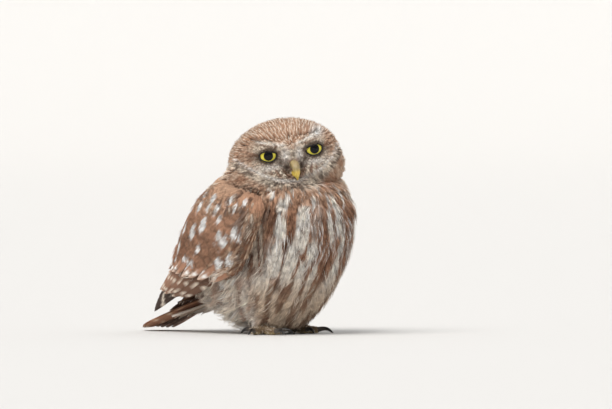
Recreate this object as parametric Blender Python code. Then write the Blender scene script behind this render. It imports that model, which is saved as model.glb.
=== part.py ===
"""A little owl at rest on its two feet, life size, as a still display model.

The bird faces -Y with its head turned to its right, and its right side is -X. The origin is on the
floor, under the middle of its bounding box. Sizes below are in millimetres.
"""

import math

import bmesh
import bpy
from mathutils import Matrix, Vector

MM = 0.001
GAP = 0.3
WELD = 0.002

# Where the bird stands: the shift that puts the origin under the middle of the bounding box
STAND_X = 0.0
STAND_Y = -36.8

# Body in level slices: height, breast, back, half width
TORSO_SLICES = (
    (5.0, -6.0, 22.0, 10.0),
    (8.0, -14.0, 34.0, 19.5),
    (15.0, -20.5, 46.0, 26.5),
    (24.0, -27.5, 59.0, 33.0),
    (35.0, -34.0, 70.0, 38.5),
    (48.0, -40.5, 72.0, 43.0),
    (60.0, -44.5, 67.0, 45.0),
    (72.0, -45.5, 59.0, 45.5),
    (83.0, -44.5, 49.0, 45.0),
    (92.0, -40.0, 39.0, 44.0),
    (100.0, -28.5, 31.0, 39.0),
    (108.0, -13.0, 20.0, 26.0),
    (112.0, -4.0, 12.0, 10.0),
)
TORSO_ROUND = 2.15
TORSO_LEVELS = 19
TORSO_SIDES = 28
BODY_MIDDLE_Y = 7.0

# Outer surface that the folded wings lie on, in the same form
WING_SLICES = (
    (4.0, -14.0, 108.0, 20.0),
    (14.0, -21.5, 107.0, 29.5),
    (24.0, -29.5, 100.0, 36.5),
    (35.0, -36.0, 90.0, 42.5),
    (48.0, -42.5, 79.0, 47.5),
    (60.0, -46.0, 72.0, 50.5),
    (72.0, -47.5, 65.0, 51.0),
    (85.0, -46.0, 54.0, 50.0),
    (96.0, -38.5, 40.5, 45.5),
    (108.0, -26.0, 28.0, 34.0),
)
WING_ROUND = 2.35

# Folded wing: its lower and upper edges as (share of the length, angle round the body, height)
WING_LOWER_EDGE = (
    (0.0, 60.0, 90.0),
    (0.2, 62.0, 73.0),
    (0.45, 76.0, 48.0),
    (0.7, 104.0, 29.0),
    (0.88, 132.0, 18.0),
    (1.0, 153.0, 14.5),
)
WING_UPPER_EDGE = (
    (0.0, 108.0, 102.0),
    (0.2, 142.0, 93.0),
    (0.45, 167.0, 71.0),
    (0.7, 174.5, 45.0),
    (1.0, 174.0, 21.0),
)
WING_BED_LIFT = -1.2
WING_BED_DEPTH = 9.0
WING_BED_END = 0.56
VANE_LEAN = -0.85
# Tiers of wing feathers: name, count, steps, half width, then on the wing's length and width the
# first and last root and the first and last tip, then the lifts at root and tip
WING_TIERS = (
    ("primary", 7, 5, 5.4, ((0.42, 0.10), (0.40, 0.62)), ((0.995, 0.20), (0.86, 0.66)), (-3.6, -2.2)),
    ("secondary", 7, 5, 6.0, ((0.38, 0.10), (0.34, 0.92)), ((0.72, 0.06), (0.78, 0.95)), (-3.0, -1.0)),
    ("greater_covert", 7, 4, 6.0, ((0.30, 0.08), (0.26, 0.84)), ((0.54, 0.06), (0.60, 0.86)), (-2.8, 0.2)),
    ("median_covert", 6, 4, 6.6, ((0.17, 0.08), (0.15, 0.86)), ((0.38, 0.06), (0.43, 0.86)), (-3.0, 0.8)),
    ("lesser_covert", 5, 4, 6.2, ((0.05, 0.10), (0.03, 0.86)), ((0.23, 0.07), (0.27, 0.86)), (-3.2, 1.2)),
    ("scapular", 4, 4, 6.4, ((0.10, 0.93), (0.38, 0.93)), ((0.30, 0.98), (0.60, 0.98)), (-3.4, 2.0)),
)

# Head in its own frame: centre, forward -Y, up +Z
HEAD_CENTRE = (-2.0, -2.0, 113.5)
HEAD_TURN = -38.0
HEAD_ROLL = -8.5
HEAD_NOD = 3.0
HEAD_HALF_WIDTH = 36.0
HEAD_CHEEK_WIDTH = 3.5
HEAD_TOP = 24.5
HEAD_BOTTOM = 33.0
HEAD_FRONT = 28.5
HEAD_BACK = 31.0
HEAD_ROUND_ABOVE = 1.95
HEAD_ROUND_BELOW = 2.3
HEAD_SIDES = 40
HEAD_LEVELS = 22

EYE_SPREAD = 14.6
EYE_HEIGHT = 4.2
EYE_DEPTH = -17.2
EYE_RADIUS = 8.2
EYE_OUTWARD = 22.0
LID_THICKNESS = 1.5
# Opening between the lids: half angles across, upwards and downwards
LID_OPENING = (39.0, 24.0, 29.0)

# Nostril in the head's frame: across, forward, up, radius
NOSTRIL = (3.1, -30.4, -1.4, 0.95)

FOOT_X = 17.5
FOOT_Y = 4.0
ANKLE_HEIGHT = 9.0
TOE_RADIUS = 3.0
CLAW_BEND = 1.35
# Toes: name, angle outwards from straight ahead on the right foot and on the left, length, claw length
TOES = (
    ("inner", -20.0, -20.0, 13.0, 9.0),
    ("middle", 14.0, 14.0, 16.0, 9.5),
    ("outer", 72.0, 112.0, 13.0, 8.5),
    ("hind", 172.0, 172.0, 8.0, 7.5),
)

TAIL_ROOT = (0.0, 53.0, 24.0)
TAIL_LENGTH = 62.0
TAIL_DROP = 21.5
TAIL_SPREAD = 8.5
TAIL_PAIRS = 6
TAIL_VANE = 10.5
TAIL_CLEARANCE = (7.5, 2.4)


def clear_scene():
    """Removes every object of the startup scene."""
    for obj in list(bpy.data.objects):
        bpy.data.objects.remove(obj, do_unlink=True)


def material(name, colour, roughness=0.8, metallic=0.0):
    """A plain Principled material."""
    made = bpy.data.materials.new(name)
    made.use_nodes = True
    shader = made.node_tree.nodes["Principled BSDF"]
    shader.inputs["Base Color"].default_value = (*colour, 1.0)
    shader.inputs["Roughness"].default_value = roughness
    shader.inputs["Metallic"].default_value = metallic
    return made


def faces_outward(points, faces):
    """Whether a closed surface's faces point outwards."""
    volume = 0.0
    for face in faces:
        for k in range(1, len(face) - 1):
            a, b, c = (Vector(points[face[i]]) for i in (0, k, k + 1))
            volume += a.dot(b.cross(c))
    return volume > 0


def mesh_object(name, points, faces, finish):
    """An object from points in millimetres, in the bird's frame, moved to where it stands."""
    if not faces_outward(points, faces):
        faces = [tuple(reversed(face)) for face in faces]
    mesh = bpy.data.meshes.new(name)
    shifted = [((x + STAND_X) * MM, (y + STAND_Y) * MM, z * MM) for x, y, z in points]
    mesh.from_pydata(shifted, [], faces)
    mesh.validate()
    obj = bpy.data.objects.new(name, mesh)
    bpy.context.scene.collection.objects.link(obj)
    if finish is not None:
        mesh.materials.append(finish)
    return obj


def smoothly(rows, at):
    """The columns of a table of rows read at a value of its first column, by cubic steps."""
    keys = [row[0] for row in rows]
    at = min(max(at, keys[0]), keys[-1])
    k = max(i for i in range(len(rows) - 1) if keys[i] <= at)
    span = keys[k + 1] - keys[k]
    share = (at - keys[k]) / span
    found = []
    for column in range(1, len(rows[0])):
        here, there = rows[k][column], rows[k + 1][column]
        before = rows[max(k - 1, 0)]
        after = rows[min(k + 2, len(rows) - 1)]
        slope_here = (there - before[column]) / (keys[k + 1] - before[0]) * span
        slope_there = (after[column] - here) / (after[0] - keys[k]) * span
        a = 2 * share**3 - 3 * share**2 + 1
        b = share**3 - 2 * share**2 + share
        c = -2 * share**3 + 3 * share**2
        d = share**3 - share**2
        found.append(a * here + b * slope_here + c * there + d * slope_there)
    return found


def ring_point(slices, roundness, angle, height, grow=0.0):
    """A point of a sliced body at an angle from straight ahead, towards +X, at a height."""
    front, back, half = smoothly(slices, height)
    turn = math.radians(angle)
    across, ahead = math.sin(turn), math.cos(turn)
    power = 2.0 / roundness
    x = (half + grow) * math.copysign(abs(across) ** power, across)
    reach = (BODY_MIDDLE_Y - front) if ahead > 0 else (back - BODY_MIDDLE_Y)
    y = BODY_MIDDLE_Y - (reach + grow) * math.copysign(abs(ahead) ** power, ahead)
    return Vector((x, y, height))


def sliced_body(name, slices, roundness, levels, sides, finish, grow=0.0):
    """A closed body through level slices, with rounded ends."""
    low, high = slices[0][0], slices[-1][0]
    points = []
    for level in range(levels):
        share = 0.5 - 0.5 * math.cos(math.pi * (level + 0.5) / levels)
        share = 0.5 * share + 0.5 * (level + 0.5) / levels
        height = low + (high - low) * share
        for side in range(sides):
            points.append(ring_point(slices, roundness, 360.0 * side / sides, height, grow))
    faces = []
    for level in range(levels - 1):
        for side in range(sides):
            a = level * sides + side
            b = level * sides + (side + 1) % sides
            faces.append((a, b, b + sides, a + sides))
    for end, level in ((0, 0), (1, levels - 1)):
        ring = points[level * sides : (level + 1) * sides]
        centre = sum(ring, Vector()) / sides
        bulge = -1.2 - grow if end == 0 else 1.6 + grow
        points.append(centre + Vector((0, 0, bulge)))
        pole = len(points) - 1
        for side in range(sides):
            a = level * sides + side
            b = level * sides + (side + 1) % sides
            faces.append((b, a, pole) if end == 0 else (a, b, pole))
    return mesh_object(name, points, faces, finish)


def tube(name, path, radii, sides, finish, flatten=1.0, round_ends=True):
    """A closed tube of round sections along a path, flattened across its height if asked."""
    path = [Vector(p) for p in path]
    points = []
    for k, centre in enumerate(path):
        ahead = path[min(k + 1, len(path) - 1)] - path[max(k - 1, 0)]
        ahead.normalize()
        side = ahead.cross(Vector((0, 0, 1)))
        if side.length < 1e-4:
            side = Vector((1, 0, 0))
        side.normalize()
        up = side.cross(ahead)
        for s in range(sides):
            turn = 2 * math.pi * (s + 0.5) / sides
            out = side * math.cos(turn) + up * flatten * math.sin(turn)
            points.append(centre + out * radii[k])
    faces = []
    for k in range(len(path) - 1):
        for s in range(sides):
            a = k * sides + s
            b = k * sides + (s + 1) % sides
            faces.append((a, a + sides, b + sides, b))
    last = (len(path) - 1) * sides
    if round_ends:
        start = path[0] - (path[1] - path[0]).normalized() * radii[0] * 0.6
        end = path[-1] + (path[-1] - path[-2]).normalized() * radii[-1] * 0.6
    else:
        start, end = path[0], path[-1]
    points += [start, end]
    for s in range(sides):
        t = (s + 1) % sides
        faces.append((len(points) - 2, s, t))
        faces.append((len(points) - 1, last + t, last + s))
    return mesh_object(name, points, faces, finish)


def ball(name, centre, radius, finish, sides=20, levels=12):
    """A closed ball."""
    points = []
    faces = []
    middle = Vector(centre)
    for level in range(1, levels):
        tilt = math.pi * level / levels
        for side in range(sides):
            turn = 2 * math.pi * side / sides
            out = Vector((math.sin(tilt) * math.cos(turn), math.sin(tilt) * math.sin(turn), -math.cos(tilt)))
            points.append(middle + out * radius)
    for level in range(levels - 2):
        for side in range(sides):
            a = level * sides + side
            b = level * sides + (side + 1) % sides
            faces.append((a, b, b + sides, a + sides))
    points.append(middle - Vector((0, 0, radius)))
    points.append(middle + Vector((0, 0, radius)))
    top = (levels - 2) * sides
    for side in range(sides):
        after = (side + 1) % sides
        faces.append((after, side, len(points) - 2))
        faces.append((top + side, top + after, len(points) - 1))
    return mesh_object(name, points, faces, finish)


def apply_modifiers(obj):
    """Turns an object's evaluated mesh into its own."""
    bpy.context.view_layer.update()
    graph = bpy.context.evaluated_depsgraph_get()
    made = bpy.data.meshes.new_from_object(obj.evaluated_get(graph))
    obj.modifiers.clear()
    obj.data = made


def keep_largest(obj):
    """Keeps only the closed surface of the most faces, and drops the slivers that a cut leaves."""
    work = bmesh.new()
    work.from_mesh(obj.data)
    bmesh.ops.remove_doubles(work, verts=work.verts, dist=WELD * MM)
    bmesh.ops.dissolve_limit(work, angle_limit=math.radians(0.4), verts=work.verts, edges=work.edges)
    bmesh.ops.triangulate(work, faces=work.faces)
    work.faces.ensure_lookup_table()
    seen = set()
    groups = []
    for face in work.faces:
        if face.index in seen:
            continue
        seen.add(face.index)
        group = [face]
        for reached in group:
            for edge in reached.edges:
                if len(edge.link_faces) != 2:
                    continue
                for other in edge.link_faces:
                    if other.index not in seen:
                        seen.add(other.index)
                        group.append(other)
        groups.append(group)
    groups.sort(key=len)
    spare = [face for group in groups[:-1] for face in group]
    bmesh.ops.delete(work, geom=spare, context="FACES")
    work.to_mesh(obj.data)
    work.free()


def join(obj, others, solver="EXACT"):
    """Fuses other closed objects into obj and removes them."""
    group = bpy.data.collections.new(obj.name + "_pieces")
    for other in others:
        bpy.context.scene.collection.objects.unlink(other)
        group.objects.link(other)
    bpy.context.scene.collection.children.link(group)
    union = obj.modifiers.new("join", "BOOLEAN")
    union.operation = "UNION"
    union.operand_type = "COLLECTION"
    union.collection = group
    union.solver = solver
    apply_modifiers(obj)
    for other in others:
        bpy.data.objects.remove(other, do_unlink=True)
    bpy.data.collections.remove(group)
    keep_largest(obj)
    return obj


def cut(obj, cutters, remove=True, solver="EXACT"):
    """Takes closed cutters away from obj."""
    for k, cutter in enumerate(cutters):
        difference = obj.modifiers.new(f"cut_{k}", "BOOLEAN")
        difference.operation = "DIFFERENCE"
        difference.object = cutter
        difference.solver = solver
    apply_modifiers(obj)
    if remove:
        for cutter in cutters:
            bpy.data.objects.remove(cutter, do_unlink=True)
    keep_largest(obj)
    return obj


def box(name, low, high):
    """A closed box between two corners."""
    points = []
    for x in (low[0], high[0]):
        for y in (low[1], high[1]):
            points += [Vector((x, y, low[2])), Vector((x, y, high[2]))]
    faces = [(0, 1, 3, 2), (4, 6, 7, 5), (0, 4, 5, 1), (2, 3, 7, 6), (0, 2, 6, 4), (1, 5, 7, 3)]
    return mesh_object(name, points, faces, None)


def torso_cutter():
    """The body, larger all round by the gap that nodes keep."""
    return sliced_body("torso_cutter", TORSO_SLICES, TORSO_ROUND, TORSO_LEVELS, TORSO_SIDES, None, GAP)


def tail_cutter():
    """The room that the tail takes under the wing tips."""
    half = 19.0
    ends = []
    for along, clearance in zip((-0.2, 1.1), TAIL_CLEARANCE):
        y = TAIL_ROOT[1] + TAIL_LENGTH * along
        z = TAIL_ROOT[2] - TAIL_DROP * along + clearance
        ends.append((y, z))
    points = []
    for x in (-half, half):
        points += [Vector((x, ends[0][0], -30)), Vector((x, ends[1][0], -30))]
        points += [Vector((x, ends[1][0], ends[1][1])), Vector((x, ends[0][0], ends[0][1]))]
    faces = [(0, 1, 2, 3), (7, 6, 5, 4), (0, 4, 5, 1), (1, 5, 6, 2), (2, 6, 7, 3), (3, 7, 4, 0)]
    return mesh_object("tail_cutter", points, faces, None)


def wing_fill(point):
    """How far out a point lies on the wings' surface: 1 on it."""
    height = min(max(point.z, WING_SLICES[0][0]), WING_SLICES[-1][0])
    front, back, half = smoothly(WING_SLICES, height)
    reach = (BODY_MIDDLE_Y - front) if point.y < BODY_MIDDLE_Y else (back - BODY_MIDDLE_Y)
    across = abs(point.x / half) ** WING_ROUND
    along = abs((point.y - BODY_MIDDLE_Y) / reach) ** WING_ROUND
    return (across + along) ** (1.0 / WING_ROUND)


def wing_normal(point):
    """The outward direction of the wings' surface near a point."""
    step = 0.4
    slope = Vector([
        wing_fill(point + Vector((step, 0, 0))) - wing_fill(point - Vector((step, 0, 0))),
        wing_fill(point + Vector((0, step, 0))) - wing_fill(point - Vector((0, step, 0))),
        wing_fill(point + Vector((0, 0, step))) - wing_fill(point - Vector((0, 0, step))),
    ])
    return slope.normalized()


def on_wing(point, lift):
    """The point of the wings' surface beside this one, raised by a lift."""
    fill = wing_fill(point)
    centre = Vector((0, BODY_MIDDLE_Y, point.z))
    landed = centre + (point - centre) / fill
    return landed + wing_normal(landed) * lift


def wing_chart(along, across, side):
    """The place on the wings' surface at shares of the wing's length and width. Side is +1 or -1."""
    low_angle, low_height = smoothly(WING_LOWER_EDGE, along)
    high_angle, high_height = smoothly(WING_UPPER_EDGE, along)
    angle = low_angle + (high_angle - low_angle) * across
    height = low_height + (high_height - low_height) * across
    point = ring_point(WING_SLICES, WING_ROUND, angle, height)
    return Vector((point.x * side, point.y, point.z))


def vane(name, centres, normals, widths, thickness, finish, lean=0.0):
    """A closed feather vane of one width step a side, with a pointed end past its last centre.

    Lean raises one edge over the other, as overlapping feathers lie.
    """
    count = len(centres)
    points = []
    for k in range(count):
        ahead = centres[min(k + 1, count - 1)] - centres[max(k - 1, 0)]
        across = normals[k].cross(ahead).normalized()
        for edge in (-1, 1):
            rim = centres[k] + across * widths[k] * edge + normals[k] * lean * edge
            points.append(rim + normals[k] * thickness / 2)
            points.append(rim - normals[k] * thickness / 2)
    faces = []
    for k in range(count - 1):
        a = 4 * k
        b = a + 4
        faces.append((a, b, b + 2))
        faces.append((a, b + 2, a + 2))
        faces.append((a + 1, b + 3, b + 1))
        faces.append((a + 1, a + 3, b + 3))
        faces.append((a, a + 1, b + 1, b))
        faces.append((a + 2, b + 2, b + 3, a + 3))
    last = 4 * (count - 1)
    tip = centres[-1] + (centres[-1] - centres[-2]).normalized() * widths[-1] * 0.9
    points.append(tip + normals[-1] * thickness / 4)
    points.append(tip - normals[-1] * thickness / 4)
    end = len(points) - 2
    faces.append((last, end, last + 2))
    faces.append((last + 1, last + 3, end + 1))
    faces.append((last, last + 1, end + 1, end))
    faces.append((last + 2, end, end + 1, last + 3))
    faces.append((0, 2, 3, 1))
    return mesh_object(name, points, faces, finish)


def wing_vane(name, side, root, tip, half_width, lifts, finish, steps=5, thickness=0.6, lean=0.0):
    """A vane laid on the wing between two places of its chart, rising or sinking by its lifts."""
    centres = []
    normals = []
    widths = []
    for k in range(steps):
        share = k / (steps - 1)
        along = root[0] + (tip[0] - root[0]) * share
        across = root[1] + (tip[1] - root[1]) * share
        lift = lifts[0] + (lifts[1] - lifts[0]) * min(share * 1.6, 1.0)
        point = wing_chart(along, across, side)
        centres.append(on_wing(point, lift))
        normals.append(wing_normal(point))
        widths.append(half_width * (0.62 + 0.38 * math.sin(math.pi * min(share + 0.15, 0.8))))
    return vane(name, centres, normals, widths, thickness, finish, lean * side)


def wing_bed(name, side, finish):
    """The wing's flesh and small coverts: a padded sheet from the shoulder to past the elbow."""
    rows, columns = 11, 7
    outer = []
    inner = []
    for i in range(rows):
        for j in range(columns):
            along = WING_BED_END * i / (rows - 1)
            across = j / (columns - 1)
            edge = min(i, rows - 1 - i, 2) / 2 * min(j, columns - 1 - j, 2) / 2
            point = wing_chart(along, across, side)
            outer.append(on_wing(point, WING_BED_LIFT - 1.6 * (1 - edge)))
            inner.append(on_wing(point, WING_BED_LIFT - WING_BED_DEPTH))
    points = outer + inner
    count = rows * columns
    faces = []
    for i in range(rows - 1):
        for j in range(columns - 1):
            a = i * columns + j
            b = a + 1
            c = a + columns
            d = c + 1
            faces.append((a, b, d, c))
            faces.append((count + a, count + c, count + d, count + b))
    rim = [j for j in range(columns)]
    rim += [i * columns + columns - 1 for i in range(1, rows)]
    rim += [(rows - 1) * columns + j for j in range(columns - 2, -1, -1)]
    rim += [i * columns for i in range(rows - 2, 0, -1)]
    for k in range(len(rim)):
        a, b = rim[k], rim[(k + 1) % len(rim)]
        faces.append((a, count + a, count + b, b))
    return mesh_object(name, points, faces, finish)


def wing(name, side, finish, head_cutter):
    """One folded wing: its bed, then tiers of flight feathers and coverts over it."""
    bed = wing_bed(name, side, finish)
    vanes = []
    for tier, count, steps, half_width, roots, tips, lifts in WING_TIERS:
        for k in range(count):
            share = k / (count - 1)
            root = [roots[0][i] + (roots[1][i] - roots[0][i]) * share for i in range(2)]
            tip = [tips[0][i] + (tips[1][i] - tips[0][i]) * share for i in range(2)]
            label = f"{name}_{tier}_{k}"
            vanes.append(wing_vane(label, side, root, tip, half_width, lifts, None, steps, lean=VANE_LEAN))
    join(bed, vanes)
    near, far = sorted((-side * 80.0, side * GAP / 2))
    middle = box("middle_cutter", (near, -80, -20), (far, 160, 160))
    cut(bed, [torso_cutter(), middle, tail_cutter()])
    cut(bed, [head_cutter], remove=False)
    return bed


def head_frame():
    """The matrix from the head's own frame to the bird's."""
    turn = Matrix.Rotation(math.radians(HEAD_TURN), 4, "Z")
    nod = Matrix.Rotation(math.radians(HEAD_NOD), 4, "X")
    roll = Matrix.Rotation(math.radians(HEAD_ROLL), 4, "Y")
    return Matrix.Translation(Vector(HEAD_CENTRE)) @ turn @ nod @ roll


def bump(x, z, centre, size, height):
    """A soft rise of the face at a place of its width and height."""
    return height * math.exp(-(((x - centre[0]) / size[0]) ** 2) - ((z - centre[1]) / size[1]) ** 2)


def head_point(turn, tilt, grow=0.0):
    """A point of the head in its own frame, at an angle from straight ahead and from level."""
    across = math.sin(turn) * math.cos(tilt)
    ahead = math.cos(turn) * math.cos(tilt)
    up = math.sin(tilt)
    half = HEAD_HALF_WIDTH
    if up < 0:
        half += HEAD_CHEEK_WIDTH * math.sin(math.pi * min(-up * 1.2, 1.0))
    depth = HEAD_FRONT if ahead > 0 else HEAD_BACK
    tall = HEAD_TOP if up > 0 else HEAD_BOTTOM
    roundness = HEAD_ROUND_ABOVE if up > 0 else HEAD_ROUND_BELOW
    fill = (abs(across) ** roundness + abs(ahead) ** roundness + abs(up) ** roundness) ** (1 / roundness)
    x = (half + grow) * across / fill
    y = -(depth + grow) * ahead / fill
    z = (tall + grow) * up / fill
    if ahead > 0:
        side = abs(x)
        push = bump(side, z, (EYE_SPREAD, EYE_HEIGHT), (8.5, 7.5), -3.2)
        push += bump(side, z, (12.0, 13.0), (11.0, 3.4), 1.6)
        push += bump(side, z, (0.0, 0.0), (4.5, 11.0), 1.6)
        push += bump(side, z, (22.0, -9.0), (8.0, 8.0), 1.2)
        y -= push * min(1.0, ahead * 2.0)
    return Vector((x, y, z))


def head_body(name, finish, grow=0.0):
    """The head's closed form, in place."""
    frame = head_frame()
    sides, levels = HEAD_SIDES, HEAD_LEVELS
    points = []
    for level in range(1, levels):
        tilt = math.radians(-90.0 + 180.0 * level / levels)
        for side in range(sides):
            share = side / sides
            turn = 2 * math.pi * (share - 0.09 * math.sin(2 * math.pi * share))
            points.append(frame @ head_point(turn, tilt, grow))
    faces = []
    for level in range(levels - 2):
        for side in range(sides):
            a = level * sides + side
            b = level * sides + (side + 1) % sides
            faces.append((a, b, b + sides, a + sides))
    points.append(frame @ head_point(0, -math.pi / 2, grow))
    points.append(frame @ head_point(0, math.pi / 2, grow))
    top = (levels - 2) * sides
    for side in range(sides):
        after = (side + 1) % sides
        faces.append((after, side, len(points) - 2))
        faces.append((top + side, top + after, len(points) - 1))
    return mesh_object(name, points, faces, finish)


def eye_centre(side):
    """The eyeball's centre in the bird's frame."""
    return head_frame() @ Vector((EYE_SPREAD * side, EYE_DEPTH, EYE_HEIGHT))


def eye_axes(side):
    """The eye's outward axis, and the directions across and up its opening."""
    frame = head_frame().to_3x3()
    turn = math.radians(EYE_OUTWARD)
    out = (frame @ Vector((math.sin(turn) * side, -math.cos(turn), 0.02))).normalized()
    up = (frame @ Vector((0, 0, 1))).normalized()
    across = up.cross(out).normalized()
    up = out.cross(across).normalized()
    return out, across, up


def lid_opening(name, side):
    """A cone from the eye's centre through the opening between the lids, flatter above."""
    centre = eye_centre(side)
    out, across, up = eye_axes(side)
    sides = 24
    reach = 14.0
    points = [centre]
    for k in range(sides):
        turn = 2 * math.pi * k / sides
        wide = math.radians(LID_OPENING[0])
        tall = math.radians(LID_OPENING[1] if math.sin(turn) > 0 else LID_OPENING[2])
        spread = Vector((math.tan(wide) * math.cos(turn), math.tan(tall) * math.sin(turn)))
        points.append(centre + (out + across * spread.x + up * spread.y) * reach)
    points.append(centre + out * (reach + 2))
    faces = []
    for k in range(sides):
        a, b = 1 + k, 1 + (k + 1) % sides
        faces.append((0, b, a))
        faces.append((a, b, len(points) - 1))
    return mesh_object(name, points, faces, None)


def head(name, finish):
    """The head with its lids, and the pockets that the eyes sit in."""
    made = head_body(name, finish)
    lids = []
    pockets = []
    for side in (-1, 1):
        lids.append(ball(f"lid_{side}", eye_centre(side), EYE_RADIUS + LID_THICKNESS, None, 16, 10))
        pockets.append(ball(f"pocket_{side}", eye_centre(side), EYE_RADIUS + GAP, None, 16, 10))
    join(made, lids)
    openings = [lid_opening(f"opening_{side}", side) for side in (-1, 1)]
    cut(made, pockets + openings)
    return made


def bill_sections(upper):
    """Centres, half widths and half heights of the bill in the head's frame."""
    if upper:
        centres = (
            (0.0, -21.0, 0.0),
            (0.0, -28.0, -0.6),
            (0.0, -31.8, -2.4),
            (0.0, -33.8, -5.2),
            (0.0, -33.8, -8.1),
            (0.0, -32.8, -10.8),
            (0.0, -31.8, -12.9),
        )
        widths = (3.0, 3.2, 3.2, 2.9, 2.2, 1.3, 0.35)
        heights = (3.6, 3.6, 3.4, 3.0, 2.3, 1.4, 0.4)
    else:
        centres = ((0.0, -20.0, -7.0), (0.0, -25.5, -7.4), (0.0, -28.6, -9.0), (0.0, -30.2, -10.8))
        widths = (2.4, 2.4, 1.8, 0.7)
        heights = (1.4, 1.4, 1.1, 0.45)
    return centres, widths, heights


def bill(name, upper, finish, grow=0.0):
    """One half of the hooked bill."""
    centres, widths, heights = bill_sections(upper)
    frame = head_frame()
    path = [Vector(c) for c in centres]
    sides = 12
    points = []
    for k, centre in enumerate(path):
        ahead = (path[min(k + 1, len(path) - 1)] - path[max(k - 1, 0)]).normalized()
        side = Vector((1, 0, 0))
        up = side.cross(ahead)
        for s in range(sides):
            turn = 2 * math.pi * s / sides
            across = side * (widths[k] + grow) * math.cos(turn)
            points.append(frame @ (centre + across + up * (heights[k] + grow) * math.sin(turn)))
    faces = []
    for k in range(len(path) - 1):
        for s in range(sides):
            a = k * sides + s
            b = k * sides + (s + 1) % sides
            faces.append((a, b, b + sides, a + sides))
    last = (len(path) - 1) * sides
    faces.append(tuple(reversed(range(sides))))
    faces.append(tuple(range(last, last + sides)))
    return mesh_object(name, points, faces, finish)


def side_toes(side):
    """Each toe of one foot: its name, its angle on that side, its length and its claw's length."""
    return [(toe, left if side > 0 else right, length, reach) for toe, right, left, length, reach in TOES]


def toe_path(side, angle, length):
    """The middle line of a toe from the ankle out along the floor."""
    turn = math.radians(angle)
    ahead = Vector((side * math.sin(turn), -math.cos(turn), 0))
    root = Vector((side * FOOT_X, FOOT_Y, 0))
    high = TOE_RADIUS * 0.8
    return [
        root + Vector((0, 0, ANKLE_HEIGHT - 2.5)),
        root + ahead * 4.0 + Vector((0, 0, high + 1.4)),
        root + ahead * (length * 0.55) + Vector((0, 0, high)),
        root + ahead * length + Vector((0, 0, high)),
    ], ahead


def foot(name, side, finish, leg_cutter):
    """Ankle and four toes, flat where they rest on the floor."""
    ankle = ball(name, (side * FOOT_X, FOOT_Y, ANKLE_HEIGHT - 3.0), 4.6, finish, 14, 10)
    toes = []
    for toe, angle, length, _ in side_toes(side):
        path, _ = toe_path(side, angle, length)
        radii = (3.2, TOE_RADIUS + 0.2, TOE_RADIUS, TOE_RADIUS - 0.3)
        toes.append(tube(f"{name}_{toe}", path, radii, 8, None, 0.95, round_ends=False))
    join(ankle, toes)
    floor = box("floor_cutter", (-120, -120, -20), (120, 200, 0.0))
    cut(ankle, [floor, leg_cutter])
    return ankle


def claw(name, side, angle, length, claw_length, finish):
    """A curved claw set on the flat end of its toe, its point just off the floor."""
    path, ahead = toe_path(side, angle, length)
    start = path[-1] + ahead * GAP
    steps = 5
    centres = [start.copy()]
    radii = [1.75]
    start = start + ahead * 0.7
    for k in range(steps):
        share = k / (steps - 1)
        rise = 1.1 * math.sin(math.pi * min(share * 1.25, 1.0)) - 1.9 * share**2
        reach = claw_length * math.sin(share * CLAW_BEND) / math.sin(CLAW_BEND)
        centres.append(start + ahead * reach + Vector((0, 0, rise)))
        radii.append(1.6 * (1 - share) ** 0.8 + 0.22)
    return tube(name, centres, radii, 7, finish, 1.0, round_ends=False)


def leg(name, side, finish, grow=0.0):
    """The feathered shank from the belly to the ankle."""
    top = Vector((side * (FOOT_X - 1.5), FOOT_Y + 3.0, 27.0))
    bottom = Vector((side * FOOT_X, FOOT_Y, 6.2))
    path = [top, top.lerp(bottom, 0.45), top.lerp(bottom, 0.8), bottom]
    radii = [r + grow for r in (9.5, 8.2, 6.4, 5.0)]
    if grow:
        path[-1] = bottom - Vector((0, 0, grow))
    return tube(name, path, radii, 14, finish, 1.0, round_ends=False)


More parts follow.
